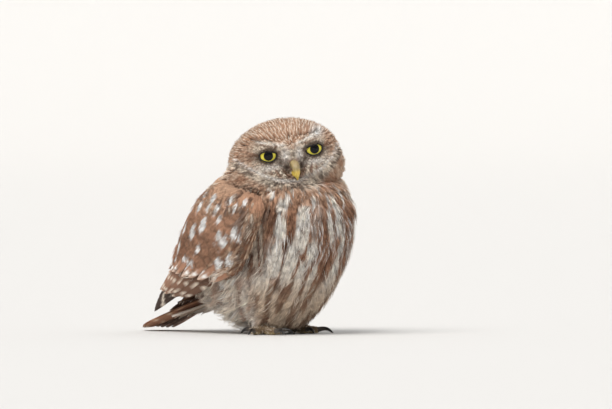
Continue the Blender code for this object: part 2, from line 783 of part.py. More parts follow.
def tail(name, finish):
    """The tail's base under its coverts, with six pairs of tail feathers and the coverts below."""
    root = Vector(TAIL_ROOT)
    down = Vector((0, TAIL_LENGTH, -TAIL_DROP)).normalized()
    core = [root + down * along for along in (-14, 2, 18, 26)]
    base = tube(name, core, (9.0, 9.5, 8.0, 4.5), 14, finish, 0.62)
    vanes = []
    for side in (-1, 1):
        for pair in range(TAIL_PAIRS):
            spread = math.radians(side * (pair + 0.5) / (TAIL_PAIRS - 0.5) * TAIL_SPREAD)
            ahead = Matrix.Rotation(-spread, 3, "Z") @ down
            low = -0.95 * pair - (0.45 if side > 0 else 0.0)
            start = root + Vector((side * (1.2 + 0.8 * pair), 0, 1.6 + 0.55 * low))
            length = (TAIL_LENGTH + 4.0) * (1.0 - 0.012 * pair * pair / 2)
            steps = 6
            centres = []
            widths = []
            for k in range(steps):
                share = k / (steps - 1)
                sag = 0.6 * math.sin(math.pi * share) + low * share * 0.5
                centres.append(start + ahead * length * share + Vector((0, 0, sag)))
                widths.append(TAIL_VANE / 2 * (0.6 + 0.4 * math.sin(math.pi * min(0.15 + share, 0.78))))
            lean = Matrix.Rotation(math.radians(-side * 2.2 * (pair + 0.3)), 3, "Y")
            normal = (lean @ Vector((0, TAIL_DROP, TAIL_LENGTH))).normalized()
            vanes.append(vane(f"{name}_{side}_{pair}", centres, [normal] * steps, widths, 0.75, None, 0.2 * side))
    for k in range(5):
        spread = math.radians((k - 2) * 9.0)
        ahead = Matrix.Rotation(spread, 3, "Z") @ Vector((0, 1.0, -0.34)).normalized()
        start = root + Vector((-(k - 2) * 3.4, 2.0, -3.5))
        length = 34.0 - 3.0 * abs(k - 2)
        centres = []
        for s in range(5):
            sag = 1.8 * math.sin(math.pi * s / 4)
            centres.append(start + ahead * length * s / 4 - Vector((0, 0, sag)))
        widths = [4.2 * (1 - 0.75 * (s / 4) ** 2) for s in range(5)]
        normal = Vector((0, 0.34, 1.0)).normalized()
        vanes.append(vane(f"{name}_under_{k}", centres, [normal] * 5, widths, 0.9, None))
    for k in range(5):
        spread = math.radians((k - 2) * 5.0)
        ahead = Matrix.Rotation(spread, 3, "Z") @ down
        start = root + Vector((-(k - 2) * 4.4, 4.0, 5.0 - 0.5 * abs(k - 2)))
        length = 31.0 - 4.0 * abs(k - 2) - 1.5 * (k % 2)
        centres = []
        for s in range(5):
            centres.append(start + ahead * length * s / 4 - Vector((0, 0, 1.6 * (s / 4) ** 2)))
        widths = [4.6 * (1 - 0.7 * (s / 4) ** 2) for s in range(5)]
        lean = Matrix.Rotation(math.radians(-(k - 2) * 9.0), 3, "Y")
        normal = (lean @ Vector((0, TAIL_DROP, TAIL_LENGTH))).normalized()
        vanes.append(vane(f"{name}_over_{k}", centres, [normal] * 5, widths, 0.9, None, 0.35 if k % 2 else -0.35))
    join(base, vanes)
    floor = box("floor_cutter", (-120, -120, -20), (120, 200, 0.0))
    cut(base, [torso_cutter(), floor])
    return base


def shade_round(objects):
    """Smooth shading, with edges kept where faces meet sharply."""
    for obj in objects:
        obj.data.shade_smooth()
        obj.data.set_sharp_from_angle(angle=math.radians(50))


def main():
    """Builds every node of the owl."""
    clear_scene()
    breast = material("breast_plumage", (0.62, 0.53, 0.43))
    brown = material("back_plumage", (0.36, 0.23, 0.15))
    crown = material("head_plumage", (0.45, 0.33, 0.25))
    iris = material("eye_gloss", (0.75, 0.68, 0.12), 0.1)
    horn = material("bill_horn", (0.72, 0.62, 0.22), 0.4)
    scaled = material("foot_skin", (0.48, 0.42, 0.32), 0.7)
    black = material("claw_horn", (0.07, 0.06, 0.06), 0.35)

    head_cutter = head_body("head_cutter", None, GAP)
    torso = sliced_body("torso", TORSO_SLICES, TORSO_ROUND, TORSO_LEVELS, TORSO_SIDES, breast)
    cut(torso, [head_cutter], remove=False)
    skull = head("head", crown)
    cutters = [bill(f"bill_cutter_{upper}", upper, None, GAP) for upper in (True, False)]
    cut(skull, cutters)
    bill_upper = bill("bill_upper", True, horn)
    across, forward, up, radius = NOSTRIL
    nostrils = []
    for side in (-1, 1):
        centre = head_frame() @ Vector((side * across, forward, up))
        nostrils.append(ball(f"nostril_{side}", centre, radius, None, 8, 6))
    cut(bill_upper, nostrils)
    bill_lower = bill("bill_lower", False, horn)
    cut(bill_lower, [bill("bill_cutter", True, None, GAP)])
    for side, word in ((-1, "right"), (1, "left")):
        ball(f"eye_{word}", eye_centre(side), EYE_RADIUS, iris, 16, 10)

    for side, word in ((-1, "right"), (1, "left")):
        wing(f"wing_{word}", side, brown, head_cutter)
        shank = leg(f"leg_{word}", side, breast)
        cut(shank, [torso_cutter()])
        foot(f"foot_{word}", side, scaled, leg(f"leg_cutter_{word}", side, None, GAP))
        for toe, angle, length, claw_length in side_toes(side):
            claw(f"claw_{word}_{toe}", side, angle, length, claw_length, black)
    bpy.data.objects.remove(head_cutter, do_unlink=True)
    tail("tail", brown)
    shade_round(bpy.context.scene.objects)


main()
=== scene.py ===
"""The looks of a life-size little owl: its skin, its coat of feathers, eyes, bill and feet.

Sizes are in millimetres in the bird's own frame: the feet stand either side of the origin, the body
faces -Y, +Z is up and the right side is -X. Everything is moved to its stand and scaled to metres
when a mesh is made.
"""

from __future__ import annotations

import logging
import math
import sys
from dataclasses import dataclass, field
from enum import Enum
from itertools import product
from typing import Callable

import bpy
import numpy as np
from bpy.types import Material, Object
from mathutils import Matrix, Vector
from mathutils.bvhtree import BVHTree
from mathutils.kdtree import KDTree
from numpy import ndarray as Array


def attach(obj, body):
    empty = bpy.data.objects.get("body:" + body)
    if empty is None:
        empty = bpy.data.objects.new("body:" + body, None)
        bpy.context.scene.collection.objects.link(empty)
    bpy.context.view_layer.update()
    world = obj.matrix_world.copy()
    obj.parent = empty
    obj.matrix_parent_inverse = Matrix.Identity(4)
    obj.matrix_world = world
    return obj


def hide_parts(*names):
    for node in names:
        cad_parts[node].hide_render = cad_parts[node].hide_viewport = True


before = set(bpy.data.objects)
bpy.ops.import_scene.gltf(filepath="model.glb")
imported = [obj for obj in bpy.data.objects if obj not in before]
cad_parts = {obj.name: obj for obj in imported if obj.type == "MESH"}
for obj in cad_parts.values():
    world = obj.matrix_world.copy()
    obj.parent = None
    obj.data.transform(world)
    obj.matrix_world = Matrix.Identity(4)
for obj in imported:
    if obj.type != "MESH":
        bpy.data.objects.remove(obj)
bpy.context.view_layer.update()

LOG = logging.getLogger("little_owl")
# Gives colours to feathers from (feather, along, across, points)
Painter = Callable[[Array, Array, Array, Array], Array]
MM = 0.001
STAND = np.array([0.0, -36.8, 0.0])
BODY_MIDDLE_Y = 7.0

TORSO_SLICES = np.array((
    (5.0, -6.0, 22.0, 10.0),
    (8.0, -14.0, 34.0, 19.5),
    (15.0, -20.5, 46.0, 26.5),
    (24.0, -27.5, 59.0, 33.0),
    (35.0, -34.0, 70.0, 38.5),
    (48.0, -40.5, 72.0, 43.0),
    (60.0, -44.5, 67.0, 45.0),
    (72.0, -45.5, 59.0, 45.5),
    (83.0, -44.5, 49.0, 45.0),
    (92.0, -41.0, 41.0, 46.5),
    (100.0, -32.5, 35.0, 43.5),
    (108.0, -19.0, 26.0, 34.0),
    (112.0, -10.0, 18.0, 22.0),
))
WING_SLICES = np.array((
    (4.0, -14.0, 108.0, 20.0),
    (14.0, -21.5, 107.0, 29.5),
    (24.0, -29.5, 100.0, 36.5),
    (35.0, -36.0, 90.0, 42.5),
    (48.0, -42.5, 79.0, 47.5),
    (60.0, -46.0, 72.0, 50.5),
    (72.0, -47.5, 65.0, 51.0),
    (85.0, -46.0, 54.0, 50.0),
    (96.0, -38.5, 40.5, 45.5),
    (108.0, -26.0, 28.0, 34.0),
))
WING_LOWER_EDGE = np.array((
    (0.0, 64.0, 90.0),
    (0.2, 66.0, 73.0),
    (0.45, 79.0, 48.0),
    (0.7, 105.0, 29.0),
    (0.88, 132.0, 18.0),
    (1.0, 153.0, 14.5),
))
WING_UPPER_EDGE = np.array((
    (0.0, 108.0, 102.0),
    (0.2, 142.0, 93.0),
    (0.45, 167.0, 71.0),
    (0.7, 174.5, 45.0),
    (1.0, 174.0, 21.0),
))
TORSO_ROUND = 2.15
WING_ROUND = 2.35
# Radius of the body in millimetres that turns angles round it into lengths
BODY_RADIUS = 44.0
# Half the size of a feather's patch on the bake's layout, and the share of that layout that the
# body's places fill
PATCH = 0.0015
BODY_SHARE = np.array((1.0, 0.48))
# How far under the skin a tuft starts, in millimetres
ROOT_DEPTH = 0.4
# How much whiter than the white hue the wing's drops are
CHALK = 1.15
UP = np.array((0.0, 0.0, 1.0))


def linear(red: float, green: float, blue: float) -> Array:
    """A colour named by its screen values, 0 to 255, as linear light."""
    share = np.array((red, green, blue)) / 255.0
    return np.where(share <= 0.04045, share / 12.92, ((share + 0.055) / 1.055) ** 2.4)


class Hue(Enum):
    """The plumage's colours."""

    CREAM = (240, 226, 208)
    WHITE = (252, 249, 245)
    BUFF = (222, 198, 172)
    SAND = (211, 176, 149)
    BROWN = (166, 123, 99)
    UMBER = (110, 79, 61)
    DARK = (60, 44, 35)
    BLACK = (22, 17, 14)
    RUST = (189, 141, 112)
    SMOKE = (112, 100, 88)

    def rgb(self) -> Array:
        """The colour as linear light."""
        return linear(*self.value)


def mix(first: Array | Hue, second: Array | Hue, share: Array | float) -> Array:
    """Blends two colours for each point.

    Args:
        first: A hue, or linear colours.
        second: Another.
        share: The share of the second, 0 to 1.

    Returns:
        Linear colours, one for each share.
    """
    share = np.clip(np.asarray(share), 0.0, 1.0)[..., None]
    first, second = (one.rgb() if isinstance(one, Hue) else one for one in (first, second))
    return first * (1.0 - share) + second * share


def step(low: float, high: float, at: Array) -> Array:
    """A smooth step from 0 at low to 1 at high."""
    share = np.clip((np.asarray(at) - low) / (high - low), 0.0, 1.0)
    return share * share * (3.0 - 2.0 * share)


def unit(vectors: Array) -> Array:
    """Vectors scaled to length one."""
    size = np.linalg.norm(vectors, axis=-1, keepdims=True)
    return vectors / np.maximum(size, 1e-9)


def patchy(x: Array, y: Array, seed: int = 0) -> Array:
    """Smooth noise from 0 to 1 over a plane, with patches about one unit across.

    Args:
        x: Places across the plane.
        y: Places up it.
        seed: A number that shifts the noise.

    Returns:
        A value for each place.
    """
    x, y = np.asarray(x, float), np.asarray(y, float)
    cell_x, cell_y = np.floor(x), np.floor(y)
    share_x, share_y = x - cell_x, y - cell_y
    share_x = share_x * share_x * (3 - 2 * share_x)
    share_y = share_y * share_y * (3 - 2 * share_y)

    def corner(i: Array, j: Array) -> Array:
        """The noise's value at a whole-number place."""
        wave = np.sin(i * 127.1 + j * 311.7 + seed * 74.7) * 43758.5453
        return wave - np.floor(wave)

    near = corner(cell_x, cell_y) * (1 - share_x) + corner(cell_x + 1, cell_y) * share_x
    far = corner(cell_x, cell_y + 1) * (1 - share_x) + corner(cell_x + 1, cell_y + 1) * share_x
    return near * (1 - share_y) + far * share_y


def smoothly(rows: Array, at: Array) -> Array:
    """Reads a table's columns at values of its first column, by cubic steps.

    Args:
        rows: The table, with its first column rising.
        at: Values of the first column.

    Returns:
        The other columns, read at each value.
    """
    keys = rows[:, 0]
    at = np.clip(np.asarray(at, float), keys[0], keys[-1])
    k = np.clip(np.searchsorted(keys, at, side="right") - 1, 0, len(rows) - 2)
    before, after = np.maximum(k - 1, 0), np.minimum(k + 2, len(rows) - 1)
    span = (keys[k + 1] - keys[k])[..., None]
    share = (at - keys[k])[..., None] / span
    here, there = rows[k, 1:], rows[k + 1, 1:]
    slope_here = (there - rows[before, 1:]) / (keys[k + 1] - keys[before])[..., None] * span
    slope_there = (rows[after, 1:] - here) / (keys[after] - keys[k])[..., None] * span
    cube, square = share**3, share**2
    start = (2 * cube - 3 * square + 1) * here + (cube - 2 * square + share) * slope_here
    return start + (3 * square - 2 * cube) * there + (cube - square) * slope_there


def ring(slices: Array, roundness: float, angle: Array, height: Array, grow: float = 0.0) -> Array:
    """Points on a sliced body.

    Args:
        slices: Its height, breast, back and half width, level by level.
        roundness: The power of its oval slices.
        angle: Angles in degrees from straight ahead.
        height: Heights of the points.
        grow: How far outside the slices they lie.

    Returns:
        A point for each angle.
    """
    front, back, half = np.moveaxis(smoothly(slices, height), -1, 0)
    turn = np.radians(angle)
    across, ahead = np.sin(turn), np.cos(turn)
    x = (half + grow) * np.sign(across) * np.abs(across) ** (2 / roundness)
    reach = np.where(ahead > 0, BODY_MIDDLE_Y - front, back - BODY_MIDDLE_Y) + grow
    y = BODY_MIDDLE_Y - reach * np.sign(ahead) * np.abs(ahead) ** (2 / roundness)
    return np.stack((x, y, np.broadcast_to(height, x.shape)), -1)


@dataclass(frozen=True)
class Head:
    """The head's own frame and form. Its centre is the origin, it faces -Y and +Z is up."""

    centre: tuple[float, float, float] = (-2.0, -2.0, 113.5)
    turn: float = -38.0
    roll: float = -8.5
    nod: float = 3.0
    half_width: float = 36.0
    cheek_width: float = 3.5
    top: float = 24.5
    bottom: float = 33.0
    front: float = 28.5
    back: float = 31.0
    eye_spread: float = 14.6
    eye_depth: float = -17.2
    eye_height: float = 4.2
    eye_radius: float = 8.2
    eye_outward: float = 4.0

    def matrix(self) -> Array:
        """The matrix from the head's frame to the bird's.

        Returns:
            Its four rows.
        """
        turn = Matrix.Rotation(math.radians(self.turn), 4, "Z")
        nod = Matrix.Rotation(math.radians(self.nod), 4, "X")
        roll = Matrix.Rotation(math.radians(self.roll), 4, "Y")
        return np.array(Matrix.Translation(Vector(self.centre)) @ turn @ nod @ roll)

    def outward(self, points: Array) -> Array:
        """Points of the head's frame in the bird's frame."""
        matrix = self.matrix()
        return points @ matrix[:3, :3].T + matrix[:3, 3]

    def inward(self, points: Array) -> Array:
        """Points of the bird's frame in the head's frame."""
        matrix = self.matrix()
        return (points - matrix[:3, 3]) @ matrix[:3, :3]

    def turned(self, directions: Array) -> Array:
        """Directions of the head's frame in the bird's frame."""
        return directions @ self.matrix()[:3, :3].T

    def surface(self, turn: Array, tilt: Array, grow: Array) -> Array:
        """Points on the head, with its eye hollows, brows, forehead and cheeks.

        Args:
            turn: Angles in radians from straight ahead.
            tilt: Angles in radians from level.
            grow: How far outside the head the points lie.

        Returns:
            The points in the head's frame.
        """
        across, ahead, up = np.sin(turn) * np.cos(tilt), np.cos(turn) * np.cos(tilt), np.sin(tilt)
        cheek = self.cheek_width * np.sin(math.pi * np.minimum(-up * 1.2, 1.0))
        half = self.half_width + np.where(up < 0, cheek, 0.0)
        depth = np.where(ahead > 0, self.front, self.back)
        tall = np.where(up > 0, self.top, self.bottom)
        rounded = np.where(up > 0, 1.95, 2.3)
        fill = (np.abs(across) ** rounded + np.abs(ahead) ** rounded + np.abs(up) ** rounded) ** (1 / rounded)
        x = (half + grow) * across / fill
        y = -(depth + grow) * ahead / fill
        z = (tall + grow) * up / fill
        side = np.abs(x)
        push = -3.6 * np.exp(-(((side - self.eye_spread) / 8.5) ** 2) - ((z - self.eye_height) / 7.5) ** 2)
        push += 1.8 * np.exp(-(((side - 12.0) / 11.0) ** 2) - ((z - 13.2) / 3.4) ** 2)
        push += 1.6 * np.exp(-((side / 4.5) ** 2) - (z / 11.0) ** 2)
        push += 1.2 * np.exp(-(((side - 22.0) / 8.0) ** 2) - ((z + 9.0) / 8.0) ** 2)
        y = y - np.where(ahead > 0, push * np.minimum(1.0, ahead * 2.0), 0.0)
        return np.stack((x, y, z), -1)

    def eye(self, side: int) -> Array:
        """An eyeball's centre in the head's frame."""
        return np.array((self.eye_spread * side, self.eye_depth, self.eye_height))

    def gaze(self, side: int) -> Array:
        """The direction an eye looks along, in the head's frame."""
        turn = math.radians(self.eye_outward)
        return unit(np.array((math.sin(turn) * side, -math.cos(turn), 0.02)))


HEAD = Head()


@dataclass(frozen=True)
class WingChart:
    """The folded wing laid out along its length and across its width, on the wings' surface."""

    def fill(self, points: Array) -> Array:
        """How far out points lie on the wings' surface: 1 on it.

        Args:
            points: The points, in the bird's frame.

        Returns:
            A share for each, below 1 inside.
        """
        height = np.clip(points[..., 2], WING_SLICES[0, 0], WING_SLICES[-1, 0])
        front, back, half = np.moveaxis(smoothly(WING_SLICES, height), -1, 0)
        reach = np.where(points[..., 1] < BODY_MIDDLE_Y, BODY_MIDDLE_Y - front, back - BODY_MIDDLE_Y)
        across = np.abs(points[..., 0] / half) ** WING_ROUND
        along = np.abs((points[..., 1] - BODY_MIDDLE_Y) / reach) ** WING_ROUND
        return (across + along) ** (1 / WING_ROUND)

    def normal(self, points: Array) -> Array:
        """The outward direction of the wings' surface near points."""
        slope = [self.fill(points + shift) - self.fill(points - shift) for shift in np.eye(3) * 0.4]
        return unit(np.stack(slope, -1))

    def lifted(self, points: Array, lift: Array) -> Array:
        """The places of the surface beside points, raised by a lift.

        Args:
            points: The points, in the bird's frame.
            lift: How far each rises.

        Returns:
            The raised places.
        """
        centre = np.zeros_like(points)
        centre[..., 1] = BODY_MIDDLE_Y
        centre[..., 2] = points[..., 2]
        landed = centre + (points - centre) / self.fill(points)[..., None]
        return landed + self.normal(landed) * np.asarray(lift)[..., None]

    def at(self, along: Array, across: Array, side: int) -> Array:
        """Places on the wings' surface.

        Args:
            along: Shares of the wing's length.
            across: Shares of its width, from the lower edge.
            side: +1 for the left wing, -1 for the right.

        Returns:
            A point for each pair of shares.
        """
        beyond = np.maximum(np.asarray(along) - 1.0, 0.0)[..., None]
        low = smoothly(WING_LOWER_EDGE, along) + beyond * (175.0, -29.0)
        high = smoothly(WING_UPPER_EDGE, along) + beyond * (0.0, -80.0)
        share = np.asarray(across, float)[..., None]
        angle, height = np.moveaxis(low + (high - low) * share, -1, 0)
        point = ring(WING_SLICES, WING_ROUND, angle, height)
        point[..., 0] *= side
        return point


WING = WingChart()


def limb(side: int) -> str:
    """The word for a side: left for +1, right for -1."""
    return "left" if side > 0 else "right"


def eye_axes(side: int) -> tuple[Array, Array, Array]:
    """An eye's gaze and the directions to its left and its top, in the head's frame."""
    gaze = HEAD.gaze(side)
    left = unit(np.cross(UP, gaze))
    return gaze, left, np.cross(gaze, left)


def bands(rows: int, sides: int, closed: bool = False) -> Array:
    """Triangles between rings of points.

    Args:
        rows: The number of rings, one after the other.
        sides: The points round each.
        closed: Whether the last ring joins the first.

    Returns:
        Two triangles for each side of each band.
    """
    i = np.arange(sides)
    j = (i + 1) % sides
    faces = []
    for k in range(rows if closed else rows - 1):
        here, there = k * sides, (k + 1) % rows * sides
        faces += [np.stack((here + i, there + i, there + j), -1), np.stack((here + i, there + j, here + j), -1)]
    return np.concatenate(faces)


def sheet(grid: Array) -> tuple[Array, Array]:
    """Closes a grid of rings, each a row, into a body with flat ends.

    Args:
        grid: The rings' points.

    Returns:
        The body's points and its triangles.
    """
    rows, sides = grid.shape[:2]
    points = np.concatenate((grid.reshape(-1, 3), grid[:1].mean(1), grid[-1:].mean(1)))
    i = np.arange(sides)
    j = (i + 1) % sides
    last = (rows - 1) * sides
    low = np.stack((np.full(sides, rows * sides), j, i), -1)
    high = np.stack((np.full(sides, rows * sides + 1), last + i, last + j), -1)
    return points, np.concatenate((bands(rows, sides)[:, ::-1], low, high))


def patchwork(rows: int, columns: int) -> Array:
    """Four-sided faces over a grid of points, row by row."""
    k = (np.arange(rows - 1)[:, None] * columns + np.arange(columns - 1)[None]).reshape(-1)
    return np.stack((k, k + 1, k + columns + 1, k + columns), -1)


def around(points: Array) -> Array:
    """Angles of points round the body in degrees, 0 straight ahead, with the sign of their side."""
    return np.degrees(np.arctan2(points[..., 0], -(points[..., 1] - BODY_MIDDLE_Y)))


def facing_out(points: Array, faces: Array) -> Array:
    """A closed body's triangles, turned over where they face inwards."""
    corner = points[faces] - points.mean(0)
    volume = np.sum(np.cross(corner[:, 0], corner[:, 1]) * corner[:, 2])
    return faces if volume > 0 else faces[:, ::-1]


def new_object(name: str, points: Array, triangles: Array) -> Object:
    """An object from points in millimetres and triangles, in place.

    Args:
        name: The object's name.
        points: Its points in the bird's frame.
        triangles: Three point numbers for each face.

    Returns:
        The object, linked to the scene and shaded smooth.
    """
    mesh = bpy.data.meshes.new(name)
    placed = ((points + STAND) * MM).astype(np.float32)
    mesh.vertices.add(len(placed))
    mesh.vertices.foreach_set("co", placed.ravel())
    count = len(triangles)
    mesh.loops.add(count * 3)
    mesh.loops.foreach_set("vertex_index", np.asarray(triangles, np.int32).ravel())
    mesh.polygons.add(count)
    mesh.polygons.foreach_set("loop_start", np.arange(0, count * 3, 3, dtype=np.int32))
    mesh.update(calc_edges=True)
    mesh.shade_smooth()
    made = bpy.data.objects.new(name, mesh)
    bpy.context.scene.collection.objects.link(made)
    return made


def paint(made: Object, colours: Array, name: str = "plumage") -> None:
    """Gives each point of an object a colour.

    Args:
        made: The object.
        colours: A linear colour for each point.
        name: The layer's name.
    """
    layer = made.data.attributes.new(name, "FLOAT_COLOR", "POINT")
    full = np.ones((len(colours), 4), np.float32)
    full[:, :3] = colours
    layer.data.foreach_set("color", full.ravel())


def corners_of(made: Object) -> Array:
    """The point's number at each corner of an object's faces."""
    corners = np.zeros(len(made.data.loops), np.int32)
    made.data.loops.foreach_get("vertex_index", corners)
    return corners


def lay_out(made: Object, places: Array, name: str) -> None:
    """Gives an object a UV map from one place for each point."""
    layer = made.data.uv_layers.new(name=name)
    layer.data.foreach_set("uv", places[corners_of(made)].astype(np.float32).ravel())


def settle(made: Object) -> Object:
    """Replaces an object's mesh by its evaluated one and drops its modifiers.

    Args:
        made: The object.

    Returns:
        The same object.
    """
    graph = bpy.context.evaluated_depsgraph_get()
    mesh = bpy.data.meshes.new_from_object(made.evaluated_get(graph))
    made.modifiers.clear()
    made.data = mesh
    return made


def dressed(made: Object, material: Material, slot: str, *replaced: str) -> Object:
    """Gives a piece its finish and sets it on the bird.

    Args:
        made: The piece.
        material: Its finish.
        slot: The record's slot; not used.
        replaced: The solids that it stands for.

    Returns:
        The piece.
    """
    made.data.materials.clear()
    made.data.materials.append(material)
    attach(made, "root")
    if replaced:
        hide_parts(*replaced)
    LOG.info("%s: %d triangles", made.name, len(made.data.polygons))
    return made


def merged(name: str, parts: list[tuple[Array, Array]], voxel: float, rounds: int, split: str) -> Object:
    """Melts closed bodies that cross into one smooth mesh.

    Args:
        name: The object's name.
        parts: Each body's points and triangles.
        voxel: The size of the mesh's squares, in millimetres.
        rounds: How often it is smoothed.
        split: The way its squares are cut into triangles.

    Returns:
        The object.
    """
    starts = np.cumsum([0] + [len(points) for points, _ in parts])
    faces = np.concatenate([faces + start for (_, faces), start in zip(parts, starts)])
    made = new_object(name, np.concatenate([points for points, _ in parts]), faces)
    remesh = made.modifiers.new("One body", "REMESH")
    remesh.mode = "VOXEL"
    remesh.voxel_size = voxel * MM
    made.modifiers.new("Smooth", "SMOOTH").iterations = rounds
    made.modifiers.new("Triangles", "TRIANGULATE").quad_method = split
    settle(made).data.shade_smooth()
    return made


def move_points(made: Object, points: Array) -> None:
    """Moves an object's points to places in millimetres in the bird's frame."""
    made.data.vertices.foreach_set("co", ((points + STAND) * MM).astype(np.float32).ravel())


def points_of(made: Object) -> Array:
    """An object's points in millimetres in the bird's frame."""
    flat = np.zeros(len(made.data.vertices) * 3, np.float32)
    made.data.vertices.foreach_get("co", flat)
    return flat.reshape(-1, 3) / MM - STAND


@dataclass(frozen=True)
class Nodes:
    """A node tree that is built up node by node."""

    tree: bpy.types.NodeTree

    def add(self, kind: str, inputs: dict[str | int, object] | None = None, **traits: object) -> bpy.types.Node:
        """Adds a node.

        Args:
            kind: Its type.
            inputs: What each input is: a constant, or the output that feeds it.
            traits: The node's other settings.

        Returns:
            The node.
        """
        node = self.tree.nodes.new(kind)
        for name, value in traits.items():
            setattr(node, name, value)
        self.set(node, inputs or {})
        return node

    @staticmethod
    def set(node: bpy.types.Node, inputs: dict[str | int, object]) -> None:
        """Sets a node's inputs to constants, or links them to other nodes' outputs.

        Args:
            node: The node.
            inputs: What each input is.
        """
        for key, value in inputs.items():
            if isinstance(value, bpy.types.NodeSocket):
                node.id_data.links.new(value, node.inputs[key])
            else:
                node.inputs[key].default_value = value


@dataclass(frozen=True)
class Finish:
    """A surface finish: a painted colour, broken by fine noise, with a bump and a gloss."""

    name: str
    roughness: float = 0.75
    specular: float = 0.3
    coat: float = 0.0
    speckle: float = 0.12
    bump: float = 0.15
    stretch: tuple[float, float, float] = (1.0, 1.0, 0.35)
    barbs: float = 0.0
    subsurface: float = 0.0

    def build(self) -> Material:
        """Makes the material.

        Returns:
            A Principled material that reads the plumage colours of the mesh.
        """
        made = bpy.data.materials.new(self.name)
        made.use_nodes = True
        tree = Nodes(made.node_tree)
        shader = made.node_tree.nodes["Principled BSDF"]
        gloss = {"Roughness": self.roughness, "Specular IOR Level": self.specular, "Coat Weight": self.coat}
        Nodes.set(shader, gloss | {"Coat Roughness": 0.04})
        if self.subsurface:
            Nodes.set(shader, {"Subsurface Weight": self.subsurface, "Subsurface Scale": 0.0015})
        painted = tree.add("ShaderNodeAttribute", attribute_name="plumage")
        place = tree.add("ShaderNodeTexCoord").outputs["Object"]
        stretch = tree.add("ShaderNodeMapping", {"Scale": self.stretch, "Vector": place})
        fine = {"Scale": 900.0, "Detail": 4.0, "Vector": stretch.outputs["Vector"]}
        noise = tree.add("ShaderNodeTexNoise", fine)
        level = tree.add("ShaderNodeMapRange", {
            "From Min": 0.3, "From Max": 0.7, "To Min": 1.0 - self.speckle, "To Max": 1.0 + self.speckle,
            "Value": noise.outputs["Fac"],
        })
        scaled = {0: painted.outputs["Color"], "Scale": level.outputs["Result"]}
        shaded = tree.add("ShaderNodeVectorMath", scaled, operation="SCALE")
        height = self.barb_lines(tree) if self.barbs else noise.outputs["Fac"]
        raised = tree.add("ShaderNodeBump", {"Strength": self.bump, "Distance": 0.0003, "Height": height})
        tree.set(shader, {"Base Color": shaded.outputs["Vector"], "Normal": raised.outputs["Normal"]})
        return made

    def barb_lines(self, tree: Nodes) -> bpy.types.NodeSocket:
        """Adds fine slanting lines on both sides of a feather's shaft.

        Args:
            tree: The nodes that they go to.

        Returns:
            Their height, read from the feather's own layout in millimetres.
        """
        layout = tree.add("ShaderNodeUVMap", uv_map="Vane")
        parts = tree.add("ShaderNodeSeparateXYZ", {"Vector": layout.outputs["UV"]})
        side = tree.add("ShaderNodeMath", {0: parts.outputs["X"]}, operation="ABSOLUTE")
        both = {0: parts.outputs["Y"], 1: side.outputs["Value"]}
        slant = tree.add("ShaderNodeMath", both, operation="SUBTRACT")
        lines = tree.add("ShaderNodeMath", {0: slant.outputs["Value"], 1: self.barbs}, operation="MULTIPLY")
        return tree.add("ShaderNodeMath", {0: lines.outputs["Value"]}, operation="SINE").outputs["Value"]


@dataclass
class Coat:
    """A growing mesh of feathers, with a colour and a bake place for each point."""

    name: str
    parts: list[tuple[Array, ...]] = field(default_factory=list)
    count: int = 0

    def add(
        self, points: Array, faces: Array, colours: Array, places: Array, vane: Array | None = None
    ) -> None:
        """Adds feathers.

        Args:
            points: Their points, in millimetres.
            faces: Triangles, numbered within these points.
            colours: A linear colour for each point.
            places: A bake place for each point.
            vane: Each point's place on its own feather, in millimetres, where it has one.
        """
        vane = np.zeros((len(points), 2)) if vane is None else vane
        self.parts.append((points, faces + self.count, colours, places, vane))
        self.count += len(points)

    def make(self, material: Material, slot: str, replaced: tuple[str, ...] = ()) -> Object:
        """Makes the object and sets it on the bird.

        Args:
            material: Its finish.
            slot: The record's slot, passed on to dressed.
            replaced: The solids that it stands for.

        Returns:
            The finished object.
        """
        points, faces, colours, places, vanes = map(np.concatenate, zip(*self.parts))
        points[:, 2] = np.maximum(points[:, 2], 0.05)
        made = new_object(self.name, points, faces)
        paint(made, colours)
        lay_out(made, places, "OFBake")
        lay_out(made, vanes, "Vane")
        return dressed(made, material, slot, *replaced)


def body_places(points: Array) -> Array:
    """Places of points on an unwrap of the body: round it, and up it."""
    angle = np.arctan2(points[:, 0], -(points[:, 1] - BODY_MIDDLE_Y))
    return np.stack((0.5 + angle / (2.08 * math.pi), np.clip(points[:, 2] / 145.0, 0.005, 0.99)), -1)


def head_places(points: Array) -> Array:
    """Places of points on an unwrap of the head: round it, and up it.

    Args:
        points: The points, in the bird's frame.

    Returns:
        A place from 0 to 1 for each.
    """
    local = HEAD.inward(points)
    turn = np.arctan2(local[:, 0], -local[:, 1])
    tilt = np.arctan2(local[:, 2], np.hypot(local[:, 0], local[:, 1]))
    return np.stack((0.5 + turn / (2.08 * math.pi), 0.5 + tilt / (1.06 * math.pi)), -1)


# Soft patches on both sides of the face: hue, centre and half sizes across and up, strength
FACE_MARKS = (
    (Hue.WHITE, (4.6, 3.4), (2.8, 4.2), 0.75),
    (Hue.WHITE, (15.0, -3.4), (7.5, 2.0), 0.7),
    (Hue.UMBER, (25.0, 4.4), (3.2, 3.4), 0.6),
    (Hue.DARK, (8.2, -0.6), (2.0, 2.4), 0.9),
    # Painted shadow in the hollow beside the bill
    (Hue.DARK, (4.8, -4.8), (2.5, 3.8), 0.9),
)
